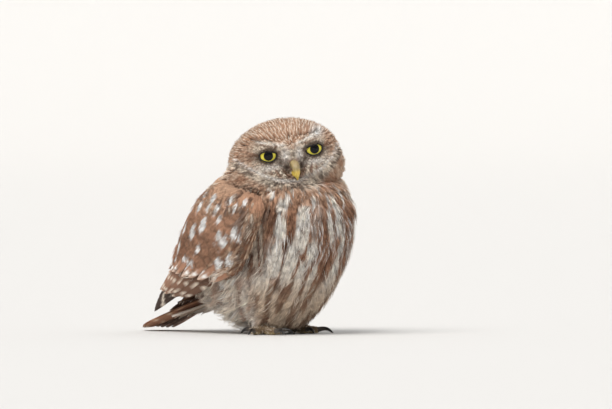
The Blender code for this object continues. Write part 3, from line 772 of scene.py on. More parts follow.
# White marks of the breast: upper end and lower end as (angle round the body, height), half width
BREAST_MARKS = (
    (-44.5, 84.5, -45.0, 80.0, 3.6), (-40.5, 87.5, -41.5, 84.0, 1.9), (-55.5, 92.0, -53.0, 89.5, 2.4),
    (-14.0, 96.0, -14.0, 93.0, 1.9), (-20.0, 87.0, -20.0, 84.0, 1.5), (-29.0, 80.0, -31.5, 54.0, 3.6),
    (-46.0, 74.0, -46.5, 63.0, 3.3), (-49.0, 56.0, -52.0, 38.0, 3.8), (-35.0, 56.0, -42.0, 34.0, 3.8),
    (-21.0, 58.0, -22.0, 48.0, 3.0), (-68.0, 37.0, -69.0, 28.0, 4.0), (-2.0, 86.0, 2.0, 64.0, 2.2),
    (-9.0, 76.0, -5.0, 60.0, 2.0), (-28.0, 44.0, -30.0, 26.0, 2.6), (-16.0, 42.0, -20.0, 24.0, 2.4),
    (-58.0, 44.0, -60.0, 30.0, 3.0),
)


@dataclass(frozen=True)
class Barbs:
    """The points of many tufts' barbs, and where each lies on its tuft.

    Along is the share of the tuft's length from its root, across is the place on its width from
    -1 to 1, chance is a number from 0 to 1 for each tuft, and tuft is its number.
    """

    points: Array
    along: Array
    across: Array
    chance: Array
    tuft: Array


class Plumage:
    """The bird's markings, shared by its skin and its coat."""

    def blob(self, x: Array, z: Array, centre: tuple[float, float], size: tuple[float, float]) -> Array:
        """A soft oval patch, 1 in its middle."""
        return np.exp(-(((x - centre[0]) / size[0]) ** 2) - ((z - centre[1]) / size[1]) ** 2)

    def head(self, barbs: Barbs) -> Array:
        """The head's colours.

        Args:
            barbs: The points to colour.

        Returns:
            A colour for each point.
        """
        local, chance = HEAD.inward(barbs.points), barbs.chance
        x, y, z = np.abs(local[..., 0]), local[..., 1], local[..., 2]
        colour = self.crown(local, barbs)
        face = step(-7.0, -13.0, y) * step(1.5, -1.5, z - (7.6 + 0.29 * x))
        colour = mix(colour, self.disc(local, chance), face)
        front = step(-12.0, -16.0, y)
        brow = np.exp(-(((z - 8.6 - 0.25 * x) / 1.0) ** 2)) * step(27.0, 19.0, x) * step(1.5, 4.0, x) * front
        colour = mix(colour, mix(Hue.CREAM, Hue.WHITE, chance), brow * 0.9)
        # A thin dark line above each eye, under the brow: painted shadow of the brow on the upper lid.
        painted_lid_shadow = np.exp(-(((z - 6.9 - 0.25 * x) / 0.6) ** 2)) * step(23.0, 17.0, x) * step(6.0, 9.0, x) * front
        colour = mix(colour, Hue.UMBER, painted_lid_shadow * 0.75)
        patch = self.blob(x, z, (21.0, 14.8), (4.2, 3.0)) * step(0.0, -8.0, y) * step(-4.0, 4.0, local[..., 0])
        colour = mix(colour, Hue.WHITE, np.minimum(1.0, patch * (0.9 + 0.6 * chance)))
        colour = mix(colour, Hue.UMBER, self.blob(x, z, (20.0, 15.8), (1.2, 0.9)) * step(0.0, -8.0, y) * 0.8)
        rim = -15.2 + 8.4 * (x / 24.0) ** 2
        band = step(1.2, -0.4, z - rim) * step(-6.5, -3.8, z - rim) * step(-2.0, -8.0, y)
        mottle = step(0.42, 0.62, patchy(local[..., 0] / 1.9, z / 1.7, 12) * 0.7 + 0.3 * chance)
        colour = mix(colour, mix(Hue.CREAM, Hue.DARK, mottle * 0.85), band * 0.85)
        crescent = np.exp(-(((z - rim - 2.0) / 1.1) ** 2)) * step(-4.0, -10.0, y)
        colour = mix(colour, Hue.WHITE, crescent * 0.75)
        throat = step(-5.5, -8.5, z - rim) * step(6.0, -4.0, y) * step(27.0, 20.0, x)
        patches = step(0.56, 0.7, patchy(local[..., 0] / 3.2, z / 6.0, 9)) * step(20.0, 14.0, x)
        tan = mix(Hue.RUST, Hue.BROWN, chance)
        return mix(colour, mix(tan, Hue.WHITE, patches), throat * 0.92)

    def crown(self, local: Array, barbs: Barbs) -> Array:
        """The crown's and nape's colours: brown with pale shaft streaks, and white spots behind.

        Args:
            local: The points in the head's frame.
            barbs: The same points on their feathers.

        Returns:
            A colour for each point.
        """
        along, across, chance = barbs.along, np.abs(barbs.across), barbs.chance
        y, z = local[..., 1], local[..., 2]
        brown = mix(Hue.RUST, Hue.BROWN, 0.1 + 0.6 * chance)
        brown = mix(brown, Hue.SAND, 0.5)
        wide = 0.1 + 0.3 * step(2.0, -6.0, z)
        streak = (1 - step(wide, wide + 0.3, across)) * step(0.15, 0.4, along) * step(0.12, 0.3, chance)
        colour = mix(brown, Hue.CREAM, streak * 0.9)
        colour = mix(colour, Hue.BROWN, step(0.62, 0.95, across) * 0.5)
        spots = step(0.66, 0.76, patchy(local[..., 0] / 4.6, z / 4.2, 3)) * step(-2.0, 8.0, y)
        return mix(colour, Hue.WHITE, spots * 0.9)

    def disc(self, local: Array, chance: Array) -> Array:
        """The face's colours: pale, with fine brown bars round each eye and painted shadow in the hollows by
        the bill.

        Args:
            local: The points in the head's frame.
            chance: A number from 0 to 1 for each feather.

        Returns:
            A colour for each point.
        """
        x, z = np.abs(local[..., 0]), local[..., 2]
        gap = np.hypot(x - HEAD.eye_spread, z - HEAD.eye_height)
        spoke = np.arctan2(z - HEAD.eye_height, x - HEAD.eye_spread)
        wobble = patchy(local[..., 0] / 4.0, z / 4.0, 5)
        bars = 0.5 + 0.5 * np.sin(gap * 2.6 + wobble * 7.0 + 2.0 * chance)
        pale = mix(Hue.BUFF, Hue.CREAM, 0.45 + 0.65 * chance)
        rays = patchy(spoke * 11.0, gap / 12.0, 15)
        colour = mix(pale, Hue.BROWN, step(0.5, 0.66, rays) * 0.75)
        colour = mix(colour, Hue.UMBER, step(0.62, 0.76, patchy(spoke * 17.0, gap / 9.0, 16)) * 0.45)
        colour = mix(colour, Hue.UMBER, step(0.6, 0.85, bars) * step(7.5, 11.0, gap) * 0.5)
        outer = step(22.0, 29.0, np.hypot(x, z * 1.1))
        colour = mix(colour, mix(Hue.RUST, Hue.SAND, chance), outer * 0.65)
        for hue, centre, size, share in FACE_MARKS:
            colour = mix(colour, hue, self.blob(x, z, centre, size) * share)
        colour = mix(colour, Hue.BLACK, self.blob(local[..., 0], z, (0.4, 3.4), (1.0, 1.1)) * 0.75)
        aside = x - HEAD.eye_spread - 0.6
        rim = step(1.45, 1.0, np.hypot(aside / 6.3, (z - HEAD.eye_height) / 4.6))
        return mix(colour, Hue.DARK, rim * 0.75)

    def streaks(self, arc: Array, z: Array) -> Array:
        """The long white marks of the breast.

        Args:
            arc: Places round the body, in millimetres from straight ahead.
            z: Their heights.

        Returns:
            1 inside a mark and 0 outside.
        """
        white = np.zeros(arc.shape)
        wave = 0.4 * (patchy(arc / 1.7, z / 5.0, 41) - 0.5) + 0.3 * (patchy(arc / 0.9, z / 9.0, 42) - 0.5)
        for top, high, foot, low, half in BREAST_MARKS:
            start, end = math.radians(top) * BODY_RADIUS, math.radians(foot) * BODY_RADIUS
            share = (high - z) / (high - low)
            inside = np.clip(share, 0.0, 1.0)
            aside = arc - start - (end - start) * inside
            beyond = (share - inside) * (high - low)
            taper = half * (0.75 + 0.4 * np.sin(math.pi * (0.1 + 0.8 * inside)))
            white = np.maximum(white, step(1.12, 0.78, np.hypot(aside / taper, beyond / 2.6) + wave))
        return white

    def body(self, barbs: Barbs) -> Array:
        """The breast's, belly's, flanks' and back's colours.

        Args:
            barbs: The points to colour.

        Returns:
            A colour for each point.
        """
        z, chance = barbs.points[..., 2], barbs.chance
        signed = around(barbs.points)
        angle = np.abs(signed)
        arc = np.radians(signed) * BODY_RADIUS
        fan = arc * (1 + 0.006 * (z - 60.0)) + 4.5 * (patchy(arc / 12.0, z / 15.0, 17) - 0.5)
        marked = step(-78.0, -70.0, signed) * step(4.0, -6.0, signed) * step(24.0, 32.0, z)
        field = patchy(fan / 4.4, z / 24.0, 2) * 0.7 + 0.3 * patchy(fan / 1.8, z / 13.0, 22)
        fine = patchy(fan / 2.3 + z / 40.0, z / 19.0, 25) * 0.7 + 0.3 * patchy(fan / 1.1, z / 10.0, 26)
        field = field + (fine - field) * step(2.0, 14.0, signed) * step(26.0, 44.0, z)
        pale = step(0.5, 0.57, field + 0.08 * (chance - 0.5)) * (1 - 0.75 * marked) * (
            1 - 0.85 * step(80.0, 88.0, z) * step(2.0, -12.0, signed)
        )
        pale = np.maximum(pale, self.streaks(arc, z))
        white = mix(Hue.WHITE, Hue.CREAM, 0.7 * chance)
        white = mix(white, Hue.BUFF, step(44.0, 18.0, z) * 0.85)
        dark = mix(mix(Hue.BROWN, Hue.SMOKE, 0.25), Hue.RUST, 0.5 * chance + 0.4 * step(70.0, 90.0, z))
        dark = mix(dark, Hue.SAND, step(76.0, 90.0, z) * 0.5)
        olive = mix(Hue.SMOKE, Hue.BROWN, 0.5)
        dark = mix(dark, mix(olive, Hue.BUFF, 0.35 * patchy(arc / 6.0, z / 6.0, 1)), step(44.0, 24.0, z) * 0.8)
        line = step(0.66, 0.76, patchy(fan / 1.15, z / 15.0, 23)) * step(92.0, 76.0, z)
        dark = mix(dark, Hue.UMBER, line * 0.85)
        colour = mix(dark, white, pale)
        thread = step(0.8, 0.86, patchy(fan / 0.85, z / 17.0, 24)) * step(30.0, 44.0, z)
        colour = mix(colour, Hue.WHITE, thread * (1 - pale) * 0.8)
        side = step(54.0, 62.0, angle) * step(34.0, 46.0, z) * step(104.0, 92.0, z)
        hairs = step(0.58, 0.7, patchy(arc / 0.9, z / 16.0, 28))
        dusk = mix(mix(Hue.SAND, Hue.UMBER, step(0.3, 0.5, field)), Hue.CREAM, hairs * 0.75)
        colour = mix(colour, dusk, side * 0.85)
        flank = step(46.0, 34.0, z) * step(70.0, 92.0, angle)
        soft = mix(Hue.WHITE, Hue.CREAM, 0.9 * chance)
        colour = mix(colour, mix(soft, Hue.BROWN, step(0.5, 0.6, field) * 0.75), flank * 0.95)
        back = step(118.0, 136.0, angle) * step(30.0, 40.0, z)
        mantle = mix(Hue.BROWN, Hue.RUST, 0.5 * chance)
        drop = step(0.68, 0.76, patchy(arc / 5.0, z / 6.0, 6)) * step(0.3, 0.5, barbs.along)
        return mix(colour, mix(mantle, Hue.WHITE, drop), back)

    def wing(self, share: Array, spot: Array, barbs: Barbs) -> Array:
        """The wing's coverts: brown, a little mottled, with white drops.

        Args:
            share: Places on the wing's chart, as shares of its length and width.
            spot: How white each point is.
            barbs: The points to colour.

        Returns:
            A colour for each point.
        """
        along = barbs.along
        ground = mix(Hue.BROWN, Hue.RUST, 0.1 + 0.3 * barbs.chance + 0.4 * step(0.4, 0.0, share[..., 0]))
        ground = mix(ground, Hue.UMBER, step(0.25, 0.5, share[..., 0]) * 0.35)
        cloud = patchy(share[..., 0] * 13.0, share[..., 1] * 9.0, 31)
        top = step(0.42, 0.0, share[..., 0]) * (0.25 + 0.75 * step(0.1, 0.5, share[..., 1]))
        ground = mix(ground, Hue.SAND, top * 0.7 + 0.2 * cloud)
        # Darker toward each covert's root: painted shade under the overlapping coverts.
        ground = mix(ground, Hue.UMBER, step(0.75, 0.2, along) * 0.2)
        edge = step(0.26, 0.06, share[..., 1]) * step(0.12, 0.24, share[..., 0])
        threads = step(0.5, 0.75, patchy(share[..., 1] * 90.0, share[..., 0] * 14.0, 32))
        ground = mix(ground, mix(Hue.UMBER, Hue.BUFF, threads * 0.8), edge * 0.75)
        ground = mix(ground, Hue.BUFF, step(0.82, 1.0, along) * 0.3)
        return mix(ground, Hue.WHITE.rgb() * CHALK, spot)


PLUMAGE = Plumage()


def outward_ring(grid: Array, faces: Array) -> Array:
    """Turns a closed ring's faces outwards.

    Args:
        grid: The ring's points, section by section.
        faces: Its triangles.

    Returns:
        The triangles, all facing away from their section's middle.
    """
    points = grid.reshape(-1, 3)
    centre = np.repeat(grid.mean(1), grid.shape[1], axis=0)
    normal = np.cross(points[faces[:, 1]] - points[faces[:, 0]], points[faces[:, 2]] - points[faces[:, 0]])
    facing = np.sum(normal * (points - centre)[faces[:, 0]])
    return faces if facing > 0 else faces[:, ::-1]


@dataclass
class Skin:
    """The skin under the coat: torso, head, legs and the beds of the wings in one closed surface."""

    body_depth: float = 4.5
    crown_depth: float = 2.6
    face_depth: float = 1.2
    voxel: float = 1.35

    def torso(self) -> tuple[Array, Array]:
        """The torso's closed surface."""
        heights = np.linspace(TORSO_SLICES[0, 0] + 2.0, 110.0, 60)
        angle, height = np.meshgrid(np.linspace(0, 360, 96, endpoint=False), heights)
        return sheet(ring(TORSO_SLICES, TORSO_ROUND, angle, height, -self.body_depth))

    def head(self) -> tuple[Array, Array]:
        """The head's closed surface.

        Returns:
            Its points and triangles.
        """
        turn = np.linspace(0, 2 * math.pi, 120, endpoint=False)
        turn, tilt = np.meshgrid(turn, np.radians(np.linspace(-88, 88, 60)))
        ahead = step(0.1, 0.6, np.cos(turn) * np.cos(tilt)) * step(0.7, 0.3, np.sin(tilt))
        depth = self.crown_depth + (self.face_depth - self.crown_depth) * ahead
        points, faces = sheet(HEAD.surface(turn, tilt, -depth))
        return HEAD.outward(points), faces

    def leg(self, side: int) -> tuple[Array, Array]:
        """One leg's closed surface.

        Args:
            side: +1 for the left leg, -1 for the right.

        Returns:
            Its points and triangles.
        """
        share = np.linspace(0, 1, 12)[:, None]
        path = np.array((side * 16.0, 7.0, 27.0)) * (1 - share) + np.array((side * 17.5, 4.0, 6.6)) * share
        radius = np.interp(share[:, 0], (0, 0.34, 0.67, 1), (8.0, 6.8, 5.0, 3.8))
        turn = np.linspace(0, 2 * math.pi, 24, endpoint=False)
        circle = np.stack((np.cos(turn), -np.sin(turn), np.zeros(24)), -1)
        return sheet(path[:, None] + circle[None] * radius[:, None, None])

    def hood(self, side: int) -> tuple[Array, Array]:
        """The flesh round one eye: a closed ring that rises to the brow above.

        Args:
            side: +1 for the left eye, -1 for the right.

        Returns:
            Its points and triangles.
        """
        turn = np.linspace(0, 2 * math.pi, 64, endpoint=False)
        brow = 2.0 * np.clip(np.sin(turn), 0, 1)[:, None]
        profile = (
            (4.0, -4.0, 0.0), (3.0, 0.1, 0.3), (10.0, 0.8, 1.0),
            (30.0, 0.5, 1.0), (48.0, -1.5, 0.3), (48.0, -5.0, 0.0),
        )
        parts = HeadParts()
        grid = np.stack([parts.rim(side, grow, turn, out + rise * brow) for grow, out, rise in profile], 1)
        return HEAD.outward(grid.reshape(-1, 3)), outward_ring(grid, bands(len(turn), len(profile), True))

    def wing(self, side: int) -> tuple[Array, Array]:
        """The bed of one wing, a closed slab on the wing's chart.

        Args:
            side: +1 for the left wing, -1 for the right.

        Returns:
            Its points and triangles.
        """
        along, across = np.meshgrid(np.linspace(0.03, 0.62, 40), np.linspace(0.06, 0.97, 30), indexing="ij")
        outer = WING.at(along, across, side)
        top, bottom = (WING.lifted(outer, np.full(along.shape, lift)) for lift in (-3.2, -9.0))
        return sheet(np.concatenate((top, bottom[:, ::-1]), 1))

    def build(self, material: Material) -> Object:
        """Makes the skin, painted with the plumage's markings.

        Args:
            material: Its finish.

        Returns:
            The skin.
        """
        parts = [self.torso(), self.head()]
        for side in (1, -1):
            parts += [self.leg(side), self.wing(side), self.hood(side)]
        made = merged("skin", parts, self.voxel, 6, "FIXED")
        points = points_of(made)
        paint(made, paint_skin(points))
        lay_out(made, body_places(points), "OFBake")
        return dressed(made, material, "breast_plumage", "torso", "head", "leg_left", "leg_right")


def on_head(points: Array) -> Array:
    """Tells which points belong to the head and not to the body.

    Args:
        points: The points, in the bird's frame.

    Returns:
        True for the head's.
    """
    local = HEAD.inward(points)
    reach = np.stack((
        local[..., 0] / (HEAD.half_width + 2.0),
        local[..., 1] / np.where(local[..., 1] < 0, HEAD.front + 1.0, HEAD.back),
        local[..., 2] / np.where(local[..., 2] > 0, HEAD.top, HEAD.bottom),
    ), -1)
    return (np.linalg.norm(reach, axis=-1) > 0.8) & (local[..., 2] > -27.0) & (points[..., 2] > 84.0)


def paint_skin(points: Array) -> Array:
    """The skin's colours: the coat's markings, a little darker.

    Args:
        points: The points, in the bird's frame.

    Returns:
        A linear colour for each.
    """
    count = len(points)
    chance = patchy(points[:, 0] / 3.0, points[:, 2] / 3.0, 8)
    barbs = Barbs(points, np.full(count, 0.5), np.zeros(count), chance, np.arange(count))
    return np.where(on_head(points)[:, None], PLUMAGE.head(barbs), PLUMAGE.body(barbs)) * 0.62


def scatter(made: Object, spacing: float, seed: int) -> tuple[Array, Array]:
    """Spreads points over a mesh, none nearer to another than a spacing.

    Args:
        made: The object that carries them.
        spacing: The least distance between two, in millimetres.
        seed: The draw's seed.

    Returns:
        The points and the surface's directions there.
    """
    rng = np.random.default_rng(seed)
    a, b, c = np.moveaxis(points_of(made)[corners_of(made).reshape(-1, 3)], 1, 0)
    normal = np.cross(b - a, c - a)
    area = np.linalg.norm(normal, axis=1) / 2
    count = int(area.sum() / spacing**2 * 5)
    pick = rng.choice(len(area), count, p=area / area.sum())
    first, second = rng.random(count), rng.random(count)
    flip = first + second > 1
    first[flip], second[flip] = 1 - first[flip], 1 - second[flip]
    placed = a[pick] + (b - a)[pick] * first[:, None] + (c - a)[pick] * second[:, None]
    cells: dict[tuple[int, int, int], list[tuple[float, float, float]]] = {}
    kept: list[int] = []
    beside = list(product((-1, 0, 1), repeat=3))
    keys = np.floor(placed / spacing).astype(int)
    for number, (key, (x, y, z)) in enumerate(zip(keys.tolist(), placed.tolist())):
        near = (spot for i, j, k in beside for spot in cells.get((key[0] + i, key[1] + j, key[2] + k), ()))
        if all((x - u) ** 2 + (y - v) ** 2 + (z - w) ** 2 >= spacing**2 for u, v, w in near):
            cells.setdefault(tuple(key), []).append((x, y, z))
            kept.append(number)
    return placed[kept], unit(normal[pick][kept])


@dataclass(frozen=True)
class Tuft:
    """The form of one kind of small feather: a fan of barbs."""

    length: tuple[float, float]
    half_width: float
    barbs: int
    barb_width: float
    depth: float
    stations: tuple[float, ...] = (0.0, 0.3, 0.7, 1.0)
    ruffle: float = 0.12
    stray: float = 0.0
    # How much each tuft darkens toward its root: painted shade between the tufts.
    shade: float = 0.45


@dataclass
class Groom:
    """Lays small feathers over the skin, along the lie of the coat."""

    skin: Object
    tree: BVHTree = field(init=False)

    def __post_init__(self) -> None:
        """Readies the skin for looking up."""
        faces = corners_of(self.skin).reshape(-1, 3)
        self.tree = BVHTree.FromPolygons(points_of(self.skin).tolist(), faces.tolist())

    def landed(self, points: Array) -> tuple[Array, Array]:
        """The nearest places on the skin, and its directions there."""
        found = [self.tree.find_nearest(row) for row in points.tolist()]
        return np.array([row[0] for row in found]), np.array([row[1] for row in found])

    def lie(self, points: Array, normals: Array) -> Array:
        """The direction that feathers lie in at places on the skin."""
        along = np.where(on_head(points)[:, None], self.head_lie(points), self.body_lie(points, normals))
        return unit(along - normals * np.sum(along * normals, axis=1, keepdims=True))

    def head_lie(self, points: Array) -> Array:
        """The lie of the head's feathers.

        Args:
            points: The points, in the bird's frame.

        Returns:
            A direction for each.
        """
        local = HEAD.inward(points)
        x, y, z = local[:, 0], local[:, 1], local[:, 2]
        side = np.sign(x)
        over = np.stack((0.35 * x / 20.0, np.ones(len(x)), 0.25 - 0.9 * step(5.0, 25.0, y)), -1)
        bill = unit(np.stack((x, 0.3 * np.abs(x), z + 1.0), -1))
        eye = unit(np.stack((x - side * HEAD.eye_spread, np.full(len(x), 0.2), z - HEAD.eye_height), -1))
        gap = np.hypot(x - side * HEAD.eye_spread, z - HEAD.eye_height)
        front = step(0.0, -12.0, y) * step(16.0, 11.0, z)
        near = np.exp(-((gap / 10.5) ** 2))[:, None]
        cheek = bill * 0.7 + eye * 0.5 + np.array((0.0, 0.5, -0.25))
        face = eye * near + cheek * (1 - near)
        brow = (np.exp(-(((z - 10.5) / 3.5) ** 2)) * step(-10.0, -16.0, y))[:, None]
        raised = np.stack((side * 1.0, np.full(len(x), 0.5), np.full(len(x), 0.35)), -1)
        face = face * (1 - brow) + raised * brow
        low = step(-8.0, -24.0, z)[:, None]
        face = face * (1 - low) + np.array((0.0, 0.3, -1.0)) * low
        return HEAD.turned(over * (1 - front[:, None]) + face * front[:, None])

    def body_lie(self, points: Array, normals: Array) -> Array:
        """The lie of the body's feathers: down the breast and back along belly and rump.

        Args:
            points: The points, in the bird's frame.
            normals: The skin's directions there.

        Returns:
            A direction for each.
        """
        x, y, z = points[:, 0], points[:, 1], points[:, 2]
        angle = np.degrees(np.arctan2(np.abs(x), -(y - BODY_MIDDLE_Y)))
        back = 0.05 + 0.55 * step(40.0, 110.0, angle) + 1.2 * step(-0.1, -0.8, normals[:, 2])
        back = back + 0.5 * step(34.0, 18.0, z) * step(20.0, 60.0, angle)
        return np.stack((0.1 * np.sign(x), back, -np.ones(len(x))), -1)

    def grow(
        self, coat: Coat, tuft: Tuft, roots: Array, normals: Array, seed: int,
        colour: Callable[[Barbs], Array], homes: Array,
    ) -> None:
        """Grows tufts.

        Args:
            coat: The piece that they go to.
            tuft: Their form.
            roots: Where they grow.
            normals: The skin's directions there.
            seed: The draw's seed.
            colour: Gives the colours of barbs.
            homes: The roots' bake places.
        """
        if not len(roots):
            return
        rng = np.random.default_rng(seed)
        count, barbs = len(roots), tuft.barbs
        chance = rng.random(count)
        length = rng.uniform(*tuft.length, count)
        turn = np.random.default_rng(seed + 500).normal(0, tuft.stray, (count, 1))

        def lie(spots: Array, up: Array) -> Array:
            """The feathers' directions, each a little astray."""
            straight = self.lie(spots, up)
            return straight * np.cos(turn) + np.cross(up, straight) * np.sin(turn)

        knots, ups, ways = [roots], [normals], [lie(roots, normals)]
        for _ in range(3):
            spot, up = self.landed(knots[-1] + ways[-1] * (length / 3)[:, None])
            knots.append(spot)
            ups.append(up)
            ways.append(lie(spot, up))
        knot, up, way = (np.stack(rows, 1) for rows in (knots, ups, ways))
        across = np.linspace(-1, 1, barbs)[None, :] + rng.normal(0, 0.35 / barbs, (count, barbs))
        reach = (1 - 0.3 * across**2) * (1 - tuft.ruffle * rng.random((count, barbs)))
        stations = np.array(tuft.stations)
        along = stations[None, None, :] * reach[:, :, None]
        place = np.clip(along * 3, 0, 2.999)
        low = place.astype(int)
        share = (place - low)[..., None]
        feather = np.arange(count)[:, None, None]

        def at(rows: Array) -> Array:
            """Reads rows of knots at the barbs' stations."""
            return rows[feather, low] * (1 - share) + rows[feather, low + 1] * share

        centre, high, ahead = at(knot), unit(at(up)), unit(at(way))
        left = unit(np.cross(high, ahead))
        spread = 0.22 + 0.78 * step(0.0, 0.6, along)
        sway = rng.normal(0, tuft.ruffle * 0.5, (count, barbs, 1)) * along
        offset = (across[..., None] * spread + sway) * tuft.half_width
        rise = tuft.depth * (1 - (1 - np.minimum(along * 1.1, 1.0)) ** 2)
        rise = rise * (0.86 + 0.28 * chance[:, None, None])
        rise = rise * (1 - 0.25 * across[..., None] ** 2) - ROOT_DEPTH
        rise = rise + rng.normal(0, 0.06, (count, barbs, 1)) * tuft.depth * along
        centre = centre + left * offset[..., None] + high * rise[..., None]
        taper = np.interp(stations, (0.0, 0.3, 0.75, 1.0), (0.55, 1.0, 0.75, 0.0))
        half = tuft.barb_width * taper * (0.8 + 0.4 * rng.random((count, barbs, 1)))
        body = np.stack((
            centre + left * half[..., None],
            centre + high * (half * 0.5)[..., None],
            centre - left * half[..., None],
        ), 3)[:, :, :-1].reshape(count, barbs, -1, 3)
        points = np.concatenate((body, centre[:, :, -1:]), 2)
        rows = len(stations) - 1
        per = rows * 3 + 1
        pattern = [(0, 2, 1)]
        for k in range(rows - 1):
            for i, j in ((0, 1), (1, 2), (2, 0)):
                pattern += [(3 * k + i, 3 * k + j, 3 * k + 3 + j), (3 * k + i, 3 * k + 3 + j, 3 * k + 3 + i)]
        pattern += [(3 * rows - 3 + i, 3 * rows - 3 + j, per - 1) for i, j in ((0, 1), (1, 2), (2, 0))]
        faces = (np.arange(count * barbs)[:, None, None] * per + np.array(pattern)[None]).reshape(-1, 3)
        steps = np.concatenate((np.repeat(along[:, :, :-1], 3, axis=2), along[:, :, -1:]), 2)
        wide = np.broadcast_to(across[..., None], steps.shape)
        shared = np.broadcast_to(chance[:, None, None], steps.shape)
        number = np.broadcast_to(np.arange(count)[:, None, None], steps.shape)
        colours = colour(Barbs(points, steps, wide, shared, number))
        tint = 1 + rng.normal(0, 0.09, (count, barbs, 1, 1)) + (chance[:, None, None, None] - 0.5) * 0.2
        # Each barb darkens toward its tuft's root by the tuft's shade: painted shade between the tufts.
        colours = colours * tint * (1 - tuft.shade * step(0.55, 0.0, steps))[..., None]
        places = homes[:, None, None] + PATCH * np.stack((wide, steps * 2 - 1), -1)
        colours = np.clip(colours, 0, 1).reshape(-1, 3)
        coat.add(points.reshape(-1, 3), faces, colours, places.reshape(-1, 2))


@dataclass
class WingGroom(Groom):
    """Lays small feathers over a folded wing, along its chart."""

    side: int = 1
    lift: float = -2.2
    chart: Array = field(init=False)
    ways: Array = field(init=False)
    slopes: Array = field(init=False)
    scales: Array = field(init=False)
    places: Array = field(init=False)
    finder: KDTree = field(init=False)

    def __post_init__(self) -> None:
        """Readies the wing's ground for looking up."""
        along, across = np.meshgrid(np.linspace(0.0, 0.86, 90), np.linspace(0.0, 1.0, 64), indexing="ij")
        self.chart = np.stack((along, across), -1).reshape(-1, 2)
        ground = WING.lifted(WING.at(along, across, self.side), np.full(along.shape, self.lift))
        self.places = ground.reshape(-1, 3)
        slope = np.gradient(ground, axis=0) / (0.86 / 89)
        wide = np.gradient(ground, axis=1) * 63
        self.ways = unit(slope).reshape(-1, 3)
        self.slopes = np.stack((slope, wide), -2).reshape(-1, 2, 3)
        self.scales = np.linalg.norm(self.slopes, axis=-1)
        quads = patchwork(*along.shape)[:, :: self.side]
        self.tree = BVHTree.FromPolygons(self.places.tolist(), quads.tolist())
        self.finder = KDTree(len(self.places))
        for number, row in enumerate(self.places.tolist()):
            self.finder.insert(row, number)
        self.finder.balance()

    def nearest(self, points: Array) -> Array:
        """The chart's nearest knot to each point."""
        return np.array([self.finder.find(row)[1] for row in points.tolist()])

    def landed(self, points: Array) -> tuple[Array, Array]:
        """The nearest places on the wing's ground, and its outward directions there."""
        spot, _ = super().landed(points)
        return spot, WING.normal(spot)

    def lie(self, points: Array, normals: Array) -> Array:
        """The direction that the wing's feathers lie in."""
        along = self.ways[self.nearest(points)]
        return unit(along - normals * np.sum(along * normals, axis=1, keepdims=True))

    def shares(self, points: Array, knots: Array) -> Array:
        """Places on the chart.

        Args:
            points: Points near the wing's ground.
            knots: The chart's knots that they are measured from.

        Returns:
            Their shares along and across the wing.
        """
        shift = points - self.places[knots]
        along, across = self.slopes[knots][..., 0, :], self.slopes[knots][..., 1, :]
        a, b, c = (np.sum(one * two, -1) for one, two in ((along, along), (along, across), (across, across)))
        p, q = np.sum(shift * along, -1), np.sum(shift * across, -1)
        whole = a * c - b * b
        return self.chart[knots] + np.stack(((p * c - q * b) / whole, (q * a - p * b) / whole), -1)

    def spots(self, points: Array, drops: tuple[tuple[float, float, float], ...]) -> Array:
        """How white points are: long drops, each hanging a little askew of the feathers' lie.

        Args:
            points: Points near the wing's ground.
            drops: The drops' middles on the chart and half lengths in millimetres.

        Returns:
            1 inside a drop and 0 outside.
        """
        white = np.zeros(points.shape[:-1])
        for number, (along, across, half) in enumerate(drops):
            middle = WING.at(np.array([along]), np.array([across]), self.side)
            middle = WING.lifted(middle, np.array([self.lift]))[0]
            out = WING.normal(middle[None])[0]
            fall = unit(self.ways[self.nearest(middle[None])[0]] + np.array((0.0, 0.0, -0.9)))
            fall = unit(fall - out * (fall @ out))
            beside = np.cross(out, fall)
            offset = points - middle
            near = np.abs(offset).max(-1) < 9.0
            u, v = offset[near] @ fall, offset[near] @ beside
            ragged = 0.16 * (patchy(v / 0.35, u / 3.0, number) - 0.5)
            long = half * 1.15
            broad = long * (0.58 + 0.08 * u / long)
            inside = step(1.1, 0.95, np.hypot(u / long, v / broad) + ragged)
            white[near] = np.maximum(white[near], inside)
        return white

    def roots(
        self, spacing: float, along: tuple[float, float], across: tuple[float, float], seed: int
    ) -> Array:
        """Spreads roots over a part of the chart in loose rows.

        Args:
            spacing: The distance between rows, in millimetres.
            along: The part's start and end along the wing.
            across: Its edges across the wing.
            seed: The draw's seed.

        Returns:
            The roots' places on the wing's ground.
        """
        rng = np.random.default_rng(seed)
        shares = []
        row = 0
        place = along[0]
        while place < along[1]:
            middle = self.nearest(WING.at(np.array([place]), np.array([0.5]), self.side))[0]
            step_along, step_across = spacing / self.scales[middle, 0], spacing / self.scales[middle, 1]
            count = max(2, int((across[1] - across[0]) / step_across))
            line = np.linspace(across[0], across[1], count) + (row % 2) * 0.5 * step_across
            strayed = rng.normal(0, 0.16, (count, 2)) * (step_along, step_across)
            shares.append(np.stack((np.full(count, place), line), -1) + strayed)
            place += step_along * 0.8
            row += 1
        share = np.clip(np.concatenate(shares), 0.0, 1.0)
        return WING.lifted(WING.at(share[:, 0], share[:, 1], self.side), np.full(len(share), self.lift))


@dataclass(frozen=True)
class Vane:
    """The form of one tier of broad feathers."""

    name: str
    half_width: float
    thickness: float = 0.3
    stations: int = 15
    columns: int = 7
    lean: float = -0.85
    camber: float = 0.5
    pointed: float = 0.35
    fray: float = 0.05


